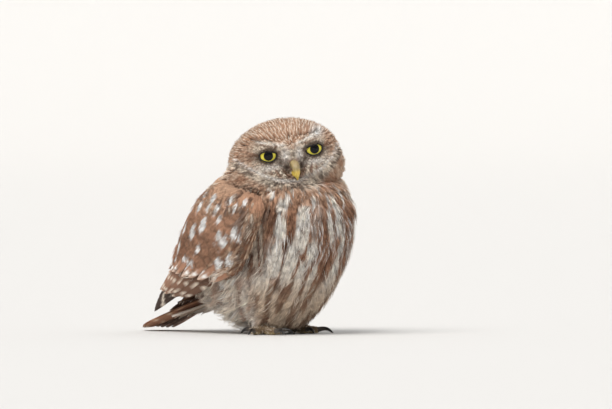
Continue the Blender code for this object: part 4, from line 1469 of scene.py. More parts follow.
def lay_vanes(
    coat: Coat, form: Vane, centres: Array, ups: Array, share: Array, side: int,
    colour: Painter, homes: Array, seed: int, land: bool,
) -> None:
    """Lays broad feathers along given middle lines.

    Args:
        coat: The piece that they go to.
        form: Their tier's form.
        centres: The middle lines, feather by feather.
        ups: The outward directions along them.
        share: The share of the length at each station.
        side: +1 or -1, the wing that they are on.
        colour: Gives colours from (feather, along, across, points).
        homes: Each feather's bake place.
        seed: The draw's seed.
        land: Whether the feathers bend to the wings' surface.
    """
    rng = np.random.default_rng(seed)
    count, rows, columns = len(centres), centres.shape[1], form.columns
    ahead = unit(np.gradient(centres, axis=1))
    left = unit(np.cross(ups, ahead)) * side
    across = np.linspace(-1, 1, columns)
    tip = np.clip((share - (1 - form.pointed)) / form.pointed, 0, 1)
    width = np.interp(share, (0.0, 0.35, 1.0), (0.55, 1.0, 0.96)) * np.sqrt(np.clip(1 - tip**2.2, 0.02, 1))
    width = width[None, :, None] * form.half_width * np.ones((count, rows, columns))
    notch = rng.random((count, rows, columns))
    width = width * (1 - form.fray * notch * (np.abs(across) > 0.9))
    offset = across * width
    top = centres[:, :, None] + left[:, :, None] * offset[..., None]
    rise = form.camber * (1 - across**2) + form.lean * across * (0.4 + 0.6 * share[:, None])
    rise = np.broadcast_to(rise, offset.shape)
    if land:
        base = np.sum((centres - WING.lifted(centres, np.zeros(centres.shape[:2]))) * ups, -1)
        top = WING.lifted(top, base[:, :, None] + rise)
        out = WING.normal(top)
    else:
        out = np.broadcast_to(ups[:, :, None], top.shape)
        top = top + out * rise[..., None]
    thick = form.thickness * (1 - 0.75 * np.abs(across) ** 3)
    bottom = top - out * thick[:, None]
    loop = np.concatenate((top, bottom[:, :, ::-1]), 2)
    sides = loop.shape[2]
    pattern = [bands(rows, sides)[:, ::-1]]
    for start, first in ((0, False), ((rows - 1) * sides, True)):
        m = np.arange(columns - 1)
        a, b = start + m, start + m + 1
        c, d = start + sides - 2 - m, start + sides - 1 - m
        ends = (np.stack((a, b, c), -1), np.stack((a, c, d), -1))
        pattern += [face[:, ::-1] if first else face for face in ends]
    pattern = np.concatenate(pattern)
    if side > 0:
        pattern = pattern[:, ::-1]
    number = np.arange(count)[:, None, None]
    faces = (number * rows * sides + pattern[None]).reshape(-1, 3)
    wide = np.concatenate((across, across[::-1]))
    each = (wide, share[None, :, None], number)
    wide, steps, feather = (np.broadcast_to(one, (count, rows, sides)) for one in each)
    colours = colour(feather, steps, wide, loop)
    length = np.linalg.norm(np.diff(centres, axis=1), axis=2).sum(1)
    spread = np.concatenate((offset, offset[:, :, ::-1]), 2)
    layout = np.stack((spread, steps * length[:, None, None]), -1)
    places = homes[:, None, None] + PATCH * np.stack((wide, steps * 2 - 1), -1)
    colours = np.clip(colours, 0, 1).reshape(-1, 3)
    coat.add(loop.reshape(-1, 3), faces, colours, places.reshape(-1, 2), layout.reshape(-1, 2))


@dataclass(frozen=True)
class Tier:
    """One tier of a wing's feathers: where their roots and tips run on the wing's chart."""

    form: Vane
    count: int
    roots: tuple[tuple[float, float], tuple[float, float]]
    tips: tuple[tuple[float, float], tuple[float, float]]
    lifts: tuple[float, float]


@dataclass
class Wing:
    """A folded wing: its flight feathers, its coverts and the white drops on them."""

    side: int
    tiers: tuple[Tier, ...] = (
        Tier(
            Vane("primary", 4.6, fray=0.02, pointed=0.3, stations=24), 9,
            ((0.42, 0.10), (0.40, 0.62)), ((1.06, 0.20), (0.9, 0.66)), (-3.6, -2.6),
        ),
        Tier(
            Vane("secondary", 5.2, stations=20), 11,
            ((0.42, 0.08), (0.38, 0.92)), ((0.80, 0.05), (0.85, 0.95)), (-3.0, -1.2),
        ),
        Tier(
            Vane("greater", 4.8), 11,
            ((0.36, 0.06), (0.34, 0.92)), ((0.64, 0.05), (0.70, 0.92)), (-2.6, -0.4),
        ),
    )
    drops: tuple[tuple[float, float, float], ...] = (
        (0.15, 0.53, 3.0), (0.20, 0.39, 3.0), (0.12, 0.35, 2.8), (0.32, 0.41, 4.4), (0.38, 0.48, 4.2),
        (0.26, 0.31, 2.4), (0.35, 0.24, 3.4), (0.38, 0.19, 4.0), (0.31, 0.16, 4.2), (0.32, 0.10, 3.4),
        (0.46, 0.33, 2.6), (0.575, 0.39, 3.6), (0.575, 0.345, 3.6), (0.575, 0.29, 3.2), (0.52, 0.12, 4.6),
        (0.48, 0.09, 4.4), (0.24, 0.62, 3.4), (0.40, 0.66, 3.8), (0.30, 0.78, 3.2), (0.52, 0.60, 3.8),
        (0.46, 0.82, 3.4), (0.60, 0.56, 3.4), (0.62, 0.76, 3.2), (0.18, 0.74, 2.8), (0.10, 0.20, 2.6),
        (0.17, 0.26, 2.4), (0.22, 0.48, 2.6),
    )

    def line(self, roots: Array, tips: Array, lifts: tuple[float, float], share: Array) -> tuple[Array, Array]:
        """Middle lines of feathers.

        Args:
            roots: The roots' places on the wing's chart.
            tips: The tips' places.
            lifts: The height over the wing's surface at root and tip.
            share: The stations' shares of the length.

        Returns:
            The lines, and the outward directions along them.
        """
        place = roots[:, None] * (1 - share[None, :, None]) + tips[:, None] * share[None, :, None]
        ground = WING.at(place[..., 0], place[..., 1], self.side)
        lift = lifts[0] + (lifts[1] - lifts[0]) * share
        return WING.lifted(ground, np.broadcast_to(lift, place.shape[:2])), WING.normal(ground)

    def build(self, material: Material) -> Object:
        """Makes the wing.

        Args:
            material: Its finish.

        Returns:
            The finished piece.
        """
        coat = Coat("wing_feathers_" + limb(self.side))
        seed = 40 if self.side > 0 else 60
        for number, tier in enumerate(self.tiers):
            rng = np.random.default_rng(seed + number)
            share = np.linspace(0, 1, tier.form.stations)
            rank = np.linspace(0, 1, tier.count)[:, None]
            roots = np.array(tier.roots[0]) * (1 - rank) + np.array(tier.roots[1]) * rank
            tips = np.array(tier.tips[0]) * (1 - rank) + np.array(tier.tips[1]) * rank
            tips = tips + rng.normal(0, 1, tips.shape) * (0.006, 0.008)
            centres, ups = self.line(roots, tips, tier.lifts, share)
            homes = body_places(centres[:, 0]) * BODY_SHARE
            shade = rng.random(tier.count)
            colour = self.painter(tier.form.name, shade)
            lay_vanes(coat, tier.form, centres, ups, share, self.side, colour, homes, seed + number, True)
        return coat.make(material, "back_plumage", ("wing_" + limb(self.side),))

    def coverts(self, material: Material) -> Object:
        """Makes the small coverts over the wing's upper part.

        Args:
            material: Their finish.

        Returns:
            The finished piece.
        """
        coat = Coat("wing_coverts_" + limb(self.side))
        groom = WingGroom(bpy.data.objects["skin"], self.side)
        for along, spacing, seed, size in (((0.22, 0.53), 3.4, 81, 16.0), ((0.0, 0.26), 3.0, 82, 12.5)):
            roots = groom.roots(spacing, along, (0.03, 0.99), seed)
            knots = groom.nearest(roots)
            length, stations = (size * 0.9, size * 1.1), (0.0, 0.35, 0.75, 1.0)
            tuft = Tuft(length, 4.4, 21, 0.28, 2.2, stations, ruffle=0.06, shade=0.35)

            def colour(barbs: Barbs) -> Array:
                """The coverts' colours."""
                spot = groom.spots(barbs.points, self.drops)
                share = groom.shares(barbs.points, knots[barbs.tuft])
                return PLUMAGE.wing(share, spot, barbs)

            homes = body_places(roots) * BODY_SHARE
            groom.grow(coat, tuft, roots, WING.normal(roots), seed + self.side, colour, homes)
        return coat.make(material, "back_plumage")

    def painter(self, tier: str, shade: Array) -> Painter:
        """Gives the function that colours one tier.

        Args:
            tier: The tier's name.
            shade: A number from 0 to 1 for each feather.

        Returns:
            The function.
        """

        def colour(feather: Array, along: Array, across: Array, points: Array) -> Array:
            """A colour for each point of the tier's feathers."""
            tone = shade[feather]
            ground = mix(Hue.BROWN, Hue.RUST, 0.15 + 0.3 * tone)
            ground = mix(ground, Hue.SAND, step(60.0, 100.0, points[..., 2]) * 0.35)
            across = np.abs(across)
            ground = mix(ground, Hue.UMBER, step(0.8, 0.2, along) * 0.5 + 0.25 * (1 - step(0.0, 0.12, across)))
            spot = np.zeros_like(along)
            if tier == "greater":
                spot = step(1.25, 0.8, np.hypot((along - 0.86) / 0.07, (across - 0.45) / 0.3)) * (tone > 0.2)
            if tier in ("primary", "secondary"):
                bars = np.abs(((along * (6 if tier == "primary" else 5) + 0.25 * tone) % 1.0) - 0.5) * 2
                spot = step(0.45, 0.2, bars) * step(0.35, 0.65, across) * step(0.35, 0.5, along)
                ground = mix(ground, *((Hue.BLACK, 0.9) if tier == "primary" else (Hue.DARK, 0.3)))
                low = step(0.5, 0.0, feather / len(shade)) if tier == "secondary" else 0.0
                ground = mix(ground, Hue.BLACK, np.broadcast_to(low, along.shape) * 0.5)
                edge = step(0.95, 0.99, along)
                spot = spot * (step(0.85, 0.75, along) if tier == "primary" else 1.0)
                return mix(mix(ground, Hue.CREAM, spot * 0.8), Hue.CREAM, edge * 0.6)
            edge = step(0.88, 0.98, along) * 0.35 + step(0.75, 1.0, across) * 0.12
            return mix(mix(ground, Hue.CREAM, edge), Hue.WHITE, spot)

        return colour


@dataclass
class Tail:
    """The tail: its long feathers and the coverts over and under their roots."""

    root: tuple[float, float, float] = (0.0, 53.0, 24.0)
    length: float = 62.0
    drop: float = 21.5
    spread: float = 8.5
    pairs: int = 6
    vane: float = 5.4

    def build(self, material: Material) -> Object:
        """Makes the tail.

        Args:
            material: Its finish.

        Returns:
            The finished piece.
        """
        coat = Coat("tail_feathers")
        share = np.linspace(0, 1, 22)
        down = unit(np.array((0.0, self.length, -self.drop)))
        root = np.array(self.root)
        for side in (1, -1):
            for pair in range(self.pairs):
                turn = math.radians(side * (pair + 0.5) / (self.pairs - 0.5) * self.spread)
                ahead = np.array((math.sin(turn) * down[1], math.cos(turn) * down[1], down[2]))
                low = -0.95 * pair - (0.45 if side > 0 else 0.0)
                start = root + np.array((side * (1.2 + 0.8 * pair), 0.0, 1.6 + 0.55 * low))
                length = (self.length + 4.0) * (1 - 0.006 * pair**2)
                centres = start + ahead * (length * share)[:, None]
                centres[:, 2] += 0.6 * np.sin(math.pi * share) + low * share * 0.5
                tilt = math.radians(-side * 2.2 * (pair + 0.3))
                up = np.array((math.sin(tilt) * self.length, self.drop, math.cos(tilt) * self.length))
                ups = np.broadcast_to(unit(up), centres.shape)
                lean = 0.2 * side
                form = Vane("tail", self.vane, stations=22, fray=0.03, pointed=0.16, lean=lean, camber=0.35)
                self.lay(coat, form, centres, ups, share, 10 * pair + side)
        self.coverts(coat, root, down)
        return coat.make(material, "back_plumage", ("tail",))

    def coverts(self, coat: Coat, root: Array, down: Array) -> None:
        """Adds the coverts over and under the tail's root.

        Args:
            coat: The piece that they go to.
            root: The middle of the tail's root.
            down: The direction that the tail points in.
        """
        share = np.linspace(0, 1, 12)
        over = Vane("cover", 5.0, stations=12, fray=0.12, pointed=0.5)
        under = Vane("under", 4.4, stations=12, fray=0.2, pointed=0.6)
        for number in range(9):
            place = (number - 4) / 2
            turn = math.radians(place * 6.0)
            ahead = np.array((math.sin(turn) * down[1], math.cos(turn) * down[1], down[2]))
            start = root + np.array((place * 4.4, 2.0, 6.0 - 0.7 * abs(place)))
            length = 33.0 - 4.0 * abs(place) - 2.0 * (number % 2)
            centres = start + ahead * (length * share)[:, None]
            centres[:, 2] -= 1.6 * share**2
            ups = np.broadcast_to(unit(np.array((0.12 * place, self.drop, self.length))), centres.shape)
            self.lay(coat, over, centres, ups, share, 200 + number)
        for number in range(9):
            place = (number - 4) / 2
            turn = math.radians(place * 8.0)
            ahead = unit(np.array((math.sin(turn), math.cos(turn), -0.34)))
            start = root + np.array((place * 3.4, 2.0, -4.2))
            length = 36.0 - 3.0 * abs(place) - 3.0 * (number % 2)
            centres = start + ahead * (length * share)[:, None]
            ups = np.broadcast_to(unit(np.array((0.1 * place, 0.34, 1.0))), centres.shape)
            self.lay(coat, under, centres, ups, share, 300 + number)

    def lay(self, coat: Coat, form: Vane, centres: Array, ups: Array, share: Array, seed: int) -> None:
        """Lays one feather of the tail.

        Args:
            coat: The piece that it goes to.
            form: Its form.
            centres: Its middle line.
            ups: The outward directions along it.
            share: The stations' shares of the length.
            seed: The draw's seed.
        """
        shade = np.random.default_rng(500 + seed).random()

        def colour(feather: Array, along: Array, across: Array, points: Array) -> Array:
            """A colour for each point of the feather."""
            if form.name == "under":
                pale = mix(Hue.WHITE, Hue.BUFF, 0.3 + 0.5 * shade * np.ones(along.shape))
                return mix(pale, Hue.BROWN, (1 - step(0.1, 0.3, np.abs(across))) * 0.7)
            ground = mix(Hue.BROWN, Hue.UMBER, 0.1 + 0.3 * shade + 0.2 * np.abs(across))
            bars = np.abs(((along * 5.5 + 0.1 * shade) % 1.0) - 0.5) * 2
            spot = step(0.34, 0.16, bars) * step(0.25, 0.5, np.abs(across)) * step(0.3, 0.4, along)
            if form.name == "cover":
                spot = step(1.2, 0.8, np.hypot((along - 0.7) / 0.12, across / 0.4)) * (shade > 0.5)
            ground = mix(ground, Hue.BUFF, spot * 0.85)
            ground = mix(ground, Hue.RUST, step(0.7, 1.0, np.abs(across)) * 0.5)
            return mix(ground, Hue.CREAM, step(0.955, 0.99, along) * 0.8)

        homes = np.array([[0.02 + 0.005 * (seed % 180), 0.49]])
        lay_vanes(coat, form, centres[None], ups[None], share, 1, colour, homes, 700 + seed, False)


def tube_mesh(path: Array, across: Array, high: Array, sides: int, up: Array = UP) -> tuple[Array, Array]:
    """A closed tube of oval rings along a path.

    Args:
        path: The middle line.
        across: Half widths along it.
        high: Half heights along it.
        sides: Points round each ring.
        up: The direction of the heights.

    Returns:
        Its points and its triangles.
    """
    ahead = unit(np.gradient(path, axis=0))
    left = unit(np.cross(up, ahead))
    top = np.cross(ahead, left)
    turn = np.linspace(0, 2 * math.pi, sides, endpoint=False)
    rings = path[:, None] + left[:, None] * (across[:, None] * np.cos(turn))[..., None]
    rings = rings + top[:, None] * (high[:, None] * np.sin(turn))[..., None]
    rows = len(path)
    ends = path[:1] - ahead[:1] * across[0] * 0.3, path[-1:] + ahead[-1:] * across[-1] * 0.3
    points = np.concatenate((rings.reshape(-1, 3), *ends))
    i = np.arange(sides)
    j = (i + 1) % sides
    last = (rows - 1) * sides
    start = np.stack((np.full(sides, rows * sides), i, j), -1)
    end = np.stack((np.full(sides, rows * sides + 1), last + j, last + i), -1)
    return points, facing_out(points, np.concatenate((bands(rows, sides), start, end)))


def along_curve(knots: Array, count: int) -> Array:
    """Reads rows of knots smoothly at even steps."""
    keys = np.linspace(0, 1, len(knots))
    return smoothly(np.column_stack((keys, knots)), np.linspace(0, 1, count))


@dataclass
class HeadParts:
    """The head's hard and wet parts: eyes, lids and bill."""

    lid_wide: float = 38.0
    lid_up: float = 17.0
    lid_down: float = 25.0
    pupil: float = 21.0
    iris: float = 40.0

    def eye(self, side: int, material: Material) -> Object:
        """Makes one eye: a dark pupil in a yellow iris, on a slight bulge.

        Args:
            side: +1 for the left, -1 for the right.
            material: Its finish.

        Returns:
            The eyeball.
        """
        rings = np.radians(np.concatenate((
            np.linspace(0.5, self.pupil - 0.5, 12), np.linspace(self.pupil + 0.5, self.iris, 26),
            np.linspace(self.iris + 1.5, 60, 8), np.linspace(66, 178, 18),
        )))
        turn = np.linspace(0, 2 * math.pi, 96, endpoint=False)
        gaze, left, top = eye_axes(side)
        radius = HEAD.eye_radius * (1 + 0.035 * np.exp(-((rings / math.radians(30)) ** 4)))
        radius = radius * (1 - 0.16 * step(math.radians(44), math.radians(70), rings))
        reach, out = np.cos(rings) * radius, np.sin(rings) * radius
        grid = HEAD.eye(side) + gaze * reach[:, None, None]
        for way, wave in ((left, np.cos(turn)), (top, np.sin(turn))):
            grid = grid + way * (out[:, None] * wave)[..., None]
        points, faces = sheet(grid)
        made = new_object("eyeball_" + limb(side), HEAD.outward(points), facing_out(points, faces))
        offset = unit(points - HEAD.eye(side))
        angle = np.degrees(np.arccos(np.clip(offset @ gaze, -1, 1)))
        spoke = np.arctan2(offset @ top, offset @ left)
        fibre = patchy(spoke * 16, angle / 5.0, 7)
        yellow = mix(linear(214, 200, 56), linear(232, 222, 100), fibre)
        yellow = mix(yellow, linear(150, 128, 30), step(self.iris - 9, self.iris - 1, angle) * 0.85)
        yellow = mix(yellow, linear(120, 104, 30), step(self.pupil + 3, self.pupil, angle) * 0.5)
        # The iris is darkened toward its top: painted shadow of the upper lid and brow.
        lift = (offset @ top) / math.sin(math.radians(self.lid_up))
        yellow = yellow * (1 - 0.5 * step(0.2, 1.0, lift))[:, None]
        colours = mix(yellow, linear(8, 9, 12), (angle < self.pupil) | (angle > self.iris + 0.5))
        paint(made, colours)
        lay_out(made, np.stack((spoke / 6.4 + 0.5, angle / 181), -1), "OFBake")
        return dressed(made, material, "eye_gloss", "eye_" + limb(side))

    def rim(self, side: int, grow: float, turn: Array, out: float | Array) -> Array:
        """Points round an eye's opening.

        Args:
            side: +1 for the left, -1 for the right.
            grow: How many degrees outside the opening they lie.
            turn: Their angles round it in radians, from its left.
            out: How far off the eyeball they lie.

        Returns:
            The points in the head's frame.
        """
        gaze, left, top = eye_axes(side)
        wide = np.cos(turn)
        high = np.sin(turn)
        inner = -left @ np.array((side, 0.0, 0.0))
        slant = 0.12 * wide * np.sign(inner) * np.where(high > 0, 1.0, 0.3)
        angle_x = np.radians(self.lid_wide + grow) * wide
        bend = np.where(high > 0, 0.55, 0.85)
        opening = np.radians(np.where(high > 0, self.lid_up, self.lid_down) + grow)
        angle_y = opening * (np.sign(high) * np.abs(high) ** bend) - slant * np.abs(high)
        aside, above = (np.tan(np.clip(angle, -1.5, 1.5)) for angle in (angle_x, angle_y))
        direction = unit(gaze + left * aside[:, None] + top * above[:, None])
        return HEAD.eye(side) + direction * (HEAD.eye_radius + np.asarray(out))

    def lid(self, side: int, material: Material) -> Object:
        """Makes the dark bare rim of one eye's lids: a rolled edge and a skirt under the feathers.

        Args:
            side: +1 for the left, -1 for the right.
            material: Its finish.

        Returns:
            The lids.
        """
        turn = np.linspace(0, 2 * math.pi, 72, endpoint=False)
        profile = (
            (0.0, -0.35), (-1.0, 0.15), (-0.4, 0.5), (2.0, 0.8),
            (5.0, 0.7), (9.0, -0.2), (9.0, -1.6), (4.0, -0.9),
        )
        grid = np.stack([self.rim(side, grow, turn, out) for grow, out in profile], 1)
        rows, sides = len(turn), len(profile)
        faces = outward_ring(grid, bands(rows, sides, True))
        made = new_object("lid_" + limb(side), HEAD.outward(grid.reshape(-1, 3)), faces)
        fold = patchy(np.repeat(turn, sides) * 9, np.tile(np.arange(sides), rows) * 0.8, 4)
        paint(made, mix(linear(24, 20, 18), linear(58, 50, 44), fold * 0.8))
        return dressed(made, material, "eye_gloss")

    def bill(self, material: Material) -> None:
        """Makes the hooked bill: the upper over the lower, with a cere and nostrils.

        Args:
            material: Its finish.
        """
        upper = along_curve(np.array((
            (0, -20, -3.0, 2.3, 3.2), (0, -28, -3.4, 2.5, 3.2), (0, -31.4, -4.6, 2.6, 3.1),
            (0, -33.2, -6.6, 2.4, 2.8), (0, -33.5, -8.8, 1.8, 2.2), (0, -32.9, -11.0, 1.05, 1.4),
            (0, -32.0, -13.0, 0.25, 0.3),
        )), 44)
        lower = along_curve(np.array((
            (0, -20, -8.0, 2.4, 2.8), (0, -27.0, -8.6, 2.5, 2.6), (0, -29.9, -9.6, 2.0, 1.9),
            (0, -30.9, -11.6, 0.7, 0.6),
        )), 24)
        for name, rows in (("upper", upper), ("lower", lower)):
            points, faces = tube_mesh(rows[:, :3], rows[:, 3], rows[:, 4], 48, np.array((0.0, -1.0, 0.45)))
            if name == "upper":
                points = self.carve(points)
            made = new_object("beak_" + name, HEAD.outward(points), faces)
            horn = step(-5.2, -8.6, points[:, 2])
            grain = patchy(points[:, 0] * 2.2, points[:, 2] * 0.5, 3)
            base = mix(linear(138, 122, 88), linear(172, 152, 108), grain)
            tip = mix(linear(216, 186, 74), linear(232, 206, 112), grain)
            colours = mix(base, tip, horn)
            edge = step(2.1, 2.9, np.abs(points[:, 0])) * step(-2.0, -5.0, points[:, 2])
            colours = mix(colours, linear(120, 104, 66), edge * 0.5)
            # The nostrils are painted nearly black: painted shade inside their openings.
            hole = np.hypot(np.hypot(np.abs(points[:, 0]) - 2.7, points[:, 1] + 30.2), points[:, 2] + 3.4)
            colours = mix(colours, linear(30, 24, 20), step(1.35, 0.8, hole))
            paint(made, colours)
            lay_out(made, np.stack((points[:, 0] / 12 + 0.5, -points[:, 2] / 20 + 0.2), -1), "OFBake")
            dressed(made, material, "bill_horn", "bill_" + name)

    def carve(self, points: Array) -> Array:
        """Presses the nostrils in, raises the cere round them and pinches the bill's ridge.

        Args:
            points: The upper bill's points, in the head's frame.

        Returns:
            The moved points.
        """
        x, y, z = points[:, 0], points[:, 1], points[:, 2]
        gap = np.hypot(np.hypot(np.abs(x) - 2.8, y + 30.0), z + 3.4)
        cere = 0.3 * step(-5.2, -4.2, z) * step(-24.0, -28.0, y)
        shift = np.sign(x) * (cere - 0.75 * step(1.2, 0.5, gap))
        ridge = 0.35 * np.exp(-((x / 0.8) ** 2)) * step(-24.0, -30.0, y)
        return np.stack((x + shift * (np.abs(x) > 1.2), y - ridge, z), -1)


@dataclass
class Feet:
    """The feet: toes with scutes and pads, and the curved claws."""

    x: float = 17.5
    y: float = 4.0
    toes: tuple[tuple[str, float, float, float, float], ...] = (
        ("inner", -20.0, -20.0, 13.0, 9.0),
        ("middle", 14.0, 14.0, 16.0, 9.5),
        ("outer", 72.0, 112.0, 13.0, 8.5),
        ("hind", 172.0, 172.0, 8.0, 7.5),
    )

    def of(self, side: int) -> list[tuple[str, float, float, float]]:
        """The toes of one foot: name, angle, length and claw length.

        Args:
            side: +1 for the left foot, -1 for the right.

        Returns:
            A row for each toe.
        """
        return [
            (name, left if side > 0 else right, length, reach)
            for name, right, left, length, reach in self.toes
        ]

    def toe(self, side: int, angle: float, length: float) -> tuple[Array, Array]:
        """Lays out a toe.

        Args:
            side: +1 for the left foot, -1 for the right.
            angle: The toe's angle outwards from straight ahead.
            length: Its length.

        Returns:
            Its middle line and the direction that it points in.
        """
        turn = math.radians(angle)
        ahead = np.array((side * math.sin(turn), -math.cos(turn), 0.0))
        root = np.array((self.x * side, self.y, 0.0))
        stations = ((0, 6.5), (4, 3.8), (0.55 * length, 2.4), (length, 2.4))
        return np.array([root + ahead * out + UP * high for out, high in stations]), ahead

    def foot(self, side: int, material: Material) -> Object:
        """Makes one foot.

        Args:
            side: +1 for the left, -1 for the right.
            material: Its finish.

        Returns:
            The foot, without its claws.
        """
        parts = []
        for _, angle, length, _ in self.of(side):
            knots, _ = self.toe(side, angle, length)
            rows = along_curve(np.column_stack((knots, (3.0, 2.9, 2.6, 2.2))), 40)
            share = np.linspace(0, 1, 40)
            scute = 1 + 0.05 * np.sin(share * length * 2.6) * step(0.15, 0.3, share)
            end = np.sqrt(np.clip(1 - ((share - 0.86) / 0.15).clip(0, 1) ** 2, 0.12, 1))
            radius = rows[:, 3] * scute * end
            parts.append(tube_mesh(rows[:, :3], radius, radius, 20))
        ankle = np.array((self.x * side, self.y, 0.0)) + UP * np.linspace(3.6, 10.5, 10)[:, None]
        radius = np.array((2.6, 3.9, 4.4, 4.5, 4.4, 4.2, 4.1, 4.1, 4.1, 4.0))
        parts.append(tube_mesh(ankle, radius, radius, 24, np.array((0.0, 1.0, 0.0))))
        made = merged("toes_" + limb(side), parts, 0.42, 2, "SHORTEST_DIAGONAL")
        points = points_of(made)
        pads = step(2.4, 1.0, points[:, 2])
        worn = patchy(points[:, 0] * 0.9, points[:, 1] * 0.9, 6)
        colours = mix(linear(128, 108, 84), linear(96, 78, 58), worn)
        colours = mix(colours, linear(150, 132, 96), pads)
        points[:, 2] = np.maximum(points[:, 2], 0.1)
        move_points(made, points)
        paint(made, colours)
        lay_out(made, body_places(points), "OFBake")
        return dressed(made, material, "foot_skin", "foot_" + limb(side))

    def claw(
        self, side: int, name: str, angle: float, length: float, reach: float, material: Material
    ) -> Object:
        """Makes one claw, with its tip just off the floor.

        Args:
            side: +1 for the left foot, -1 for the right.
            name: Its toe's name.
            angle: Its toe's angle outwards from straight ahead.
            length: Its toe's length.
            reach: The claw's length.
            material: Its finish.

        Returns:
            The claw.
        """
        knots, ahead = self.toe(side, angle, length)
        share = np.linspace(0, 1, 26)
        start = knots[-1] - ahead * 1.4
        bend = 1.35
        path = start + ahead * ((reach + 1.9) * np.sin(share * bend) / math.sin(bend))[:, None]
        path[:, 2] += 1.1 * np.sin(math.pi * np.minimum(share * 1.25, 1)) - 1.9 * share**2
        radius = 1.55 * (1 - share) ** 0.8 + 0.16
        path[:, 2] = np.maximum(path[:, 2], radius + 0.12)
        points, faces = tube_mesh(path, radius * 0.85, radius, 20)
        points[:, 2] = np.maximum(points[:, 2], 0.1)
        made = new_object(f"talon_{limb(side)}_{name}", points, faces)
        out = (points - start) @ ahead / reach
        grain = patchy(out * 9, points[:, 2] * 2, 2)
        base = mix(linear(70, 62, 56), linear(96, 88, 80), grain)
        paint(made, mix(base, linear(22, 19, 18), step(0.25, 0.8, out)))
        lay_out(made, np.stack((np.clip(out * 0.5 + 0.2, 0, 1), points[:, 2] / 8), -1), "OFBake")
        return dressed(made, material, "claw_horn", f"claw_{limb(side)}_{name}")


@dataclass(frozen=True)
class Bristles:
    """Small stiff bristles on a surface."""

    name: str
    density: float
    length: float
    radius: float
    lean: tuple[float, float, float] = (0.0, 0.0, -0.4)
    colour: Hue = Hue.CREAM
    seed: int = 5

    def tree(self, material: Material) -> bpy.types.GeometryNodeTree:
        """Builds the node tree that grows the bristles.

        Args:
            material: The bristles' finish.

        Returns:
            The tree, with named inputs for the bristles' sizes.
        """
        group = bpy.data.node_groups.new(self.name, "GeometryNodeTree")
        face = group.interface
        face.new_socket("Surface", in_out="INPUT", socket_type="NodeSocketGeometry")
        for name in ("Density", "Length", "Radius"):
            face.new_socket(name, in_out="INPUT", socket_type="NodeSocketFloat")
        face.new_socket("Bristles", in_out="OUTPUT", socket_type="NodeSocketGeometry")
        tree = Nodes(group)
        sizes = tree.add("NodeGroupInput").outputs
        spread = tree.add("GeometryNodeDistributePointsOnFaces", {
            "Mesh": sizes["Surface"], "Density": sizes["Density"], "Seed": self.seed,
        })
        cone = tree.add("GeometryNodeMeshCone", {
            "Vertices": 5, "Side Segments": 2, "Radius Bottom": sizes["Radius"], "Depth": sizes["Length"],
        })
        toward = tree.add("ShaderNodeVectorMath", {0: spread.outputs["Normal"], 1: self.lean}, operation="ADD")
        jitter = tree.add(
            "FunctionNodeRandomValue",
            {"Min": (-0.25, -0.25, -0.25), "Max": (0.25, 0.25, 0.25), "Seed": self.seed + 1},
            data_type="FLOAT_VECTOR",
        )
        both = {0: toward.outputs["Vector"], 1: jitter.outputs[0]}
        swayed = tree.add("ShaderNodeVectorMath", both, operation="ADD")
        turned = tree.add("FunctionNodeAlignRotationToVector", {"Vector": swayed.outputs["Vector"]}, axis="Z")
        scale = tree.add("FunctionNodeRandomValue", {2: 0.6, 3: 1.2, "Seed": self.seed + 2}, data_type="FLOAT")
        place = tree.add("GeometryNodeInstanceOnPoints", {
            "Points": spread.outputs["Points"], "Instance": cone.outputs["Mesh"],
            "Rotation": turned.outputs["Rotation"], "Scale": scale.outputs[1],
        })
        whole = tree.add("GeometryNodeRealizeInstances", {"Geometry": place.outputs["Instances"]})
        finish = {"Geometry": whole.outputs["Geometry"], "Material": material}
        dressed_up = tree.add("GeometryNodeSetMaterial", finish)
        tree.add("NodeGroupOutput", {"Bristles": dressed_up.outputs["Geometry"]})
        return group

    def build(self, surface: Object, material: Material, slot: str) -> Object:
        """Grows the bristles on a surface.

        Args:
            surface: The object that carries them.
            material: Their finish.
            slot: The record's slot.

        Returns:
            The bristles, as a plain mesh.
        """
        made = bpy.data.objects.new(self.name, surface.data.copy())
        bpy.context.scene.collection.objects.link(made)
        grown = made.modifiers.new("Bristles", "NODES")
        grown.node_group = self.tree(material)
        sizes = {"Density": self.density, "Length": self.length, "Radius": self.radius}
        for item in grown.node_group.interface.items_tree:
            if item.item_type == "SOCKET" and item.in_out == "INPUT" and item.name in sizes:
                grown[item.identifier] = sizes[item.name]
        settle(made)
        made.modifiers.new("Triangles", "TRIANGULATE").quad_method = "FIXED"
        settle(made)
        points = points_of(made)
        points[:, 2] = np.maximum(points[:, 2], 0.08)
        move_points(made, points)
        tone = patchy(points[:, 0] * 1.3, points[:, 1] * 1.3 + points[:, 2], self.seed)
        for name in ("plumage", "OFBake"):
            old = made.data.attributes.get(name)
            if old:
                made.data.attributes.remove(old)
        paint(made, mix(self.colour, Hue.SMOKE, tone * 0.5))
        lay_out(made, body_places(points), "OFBake")
        return dressed(made, material, slot)


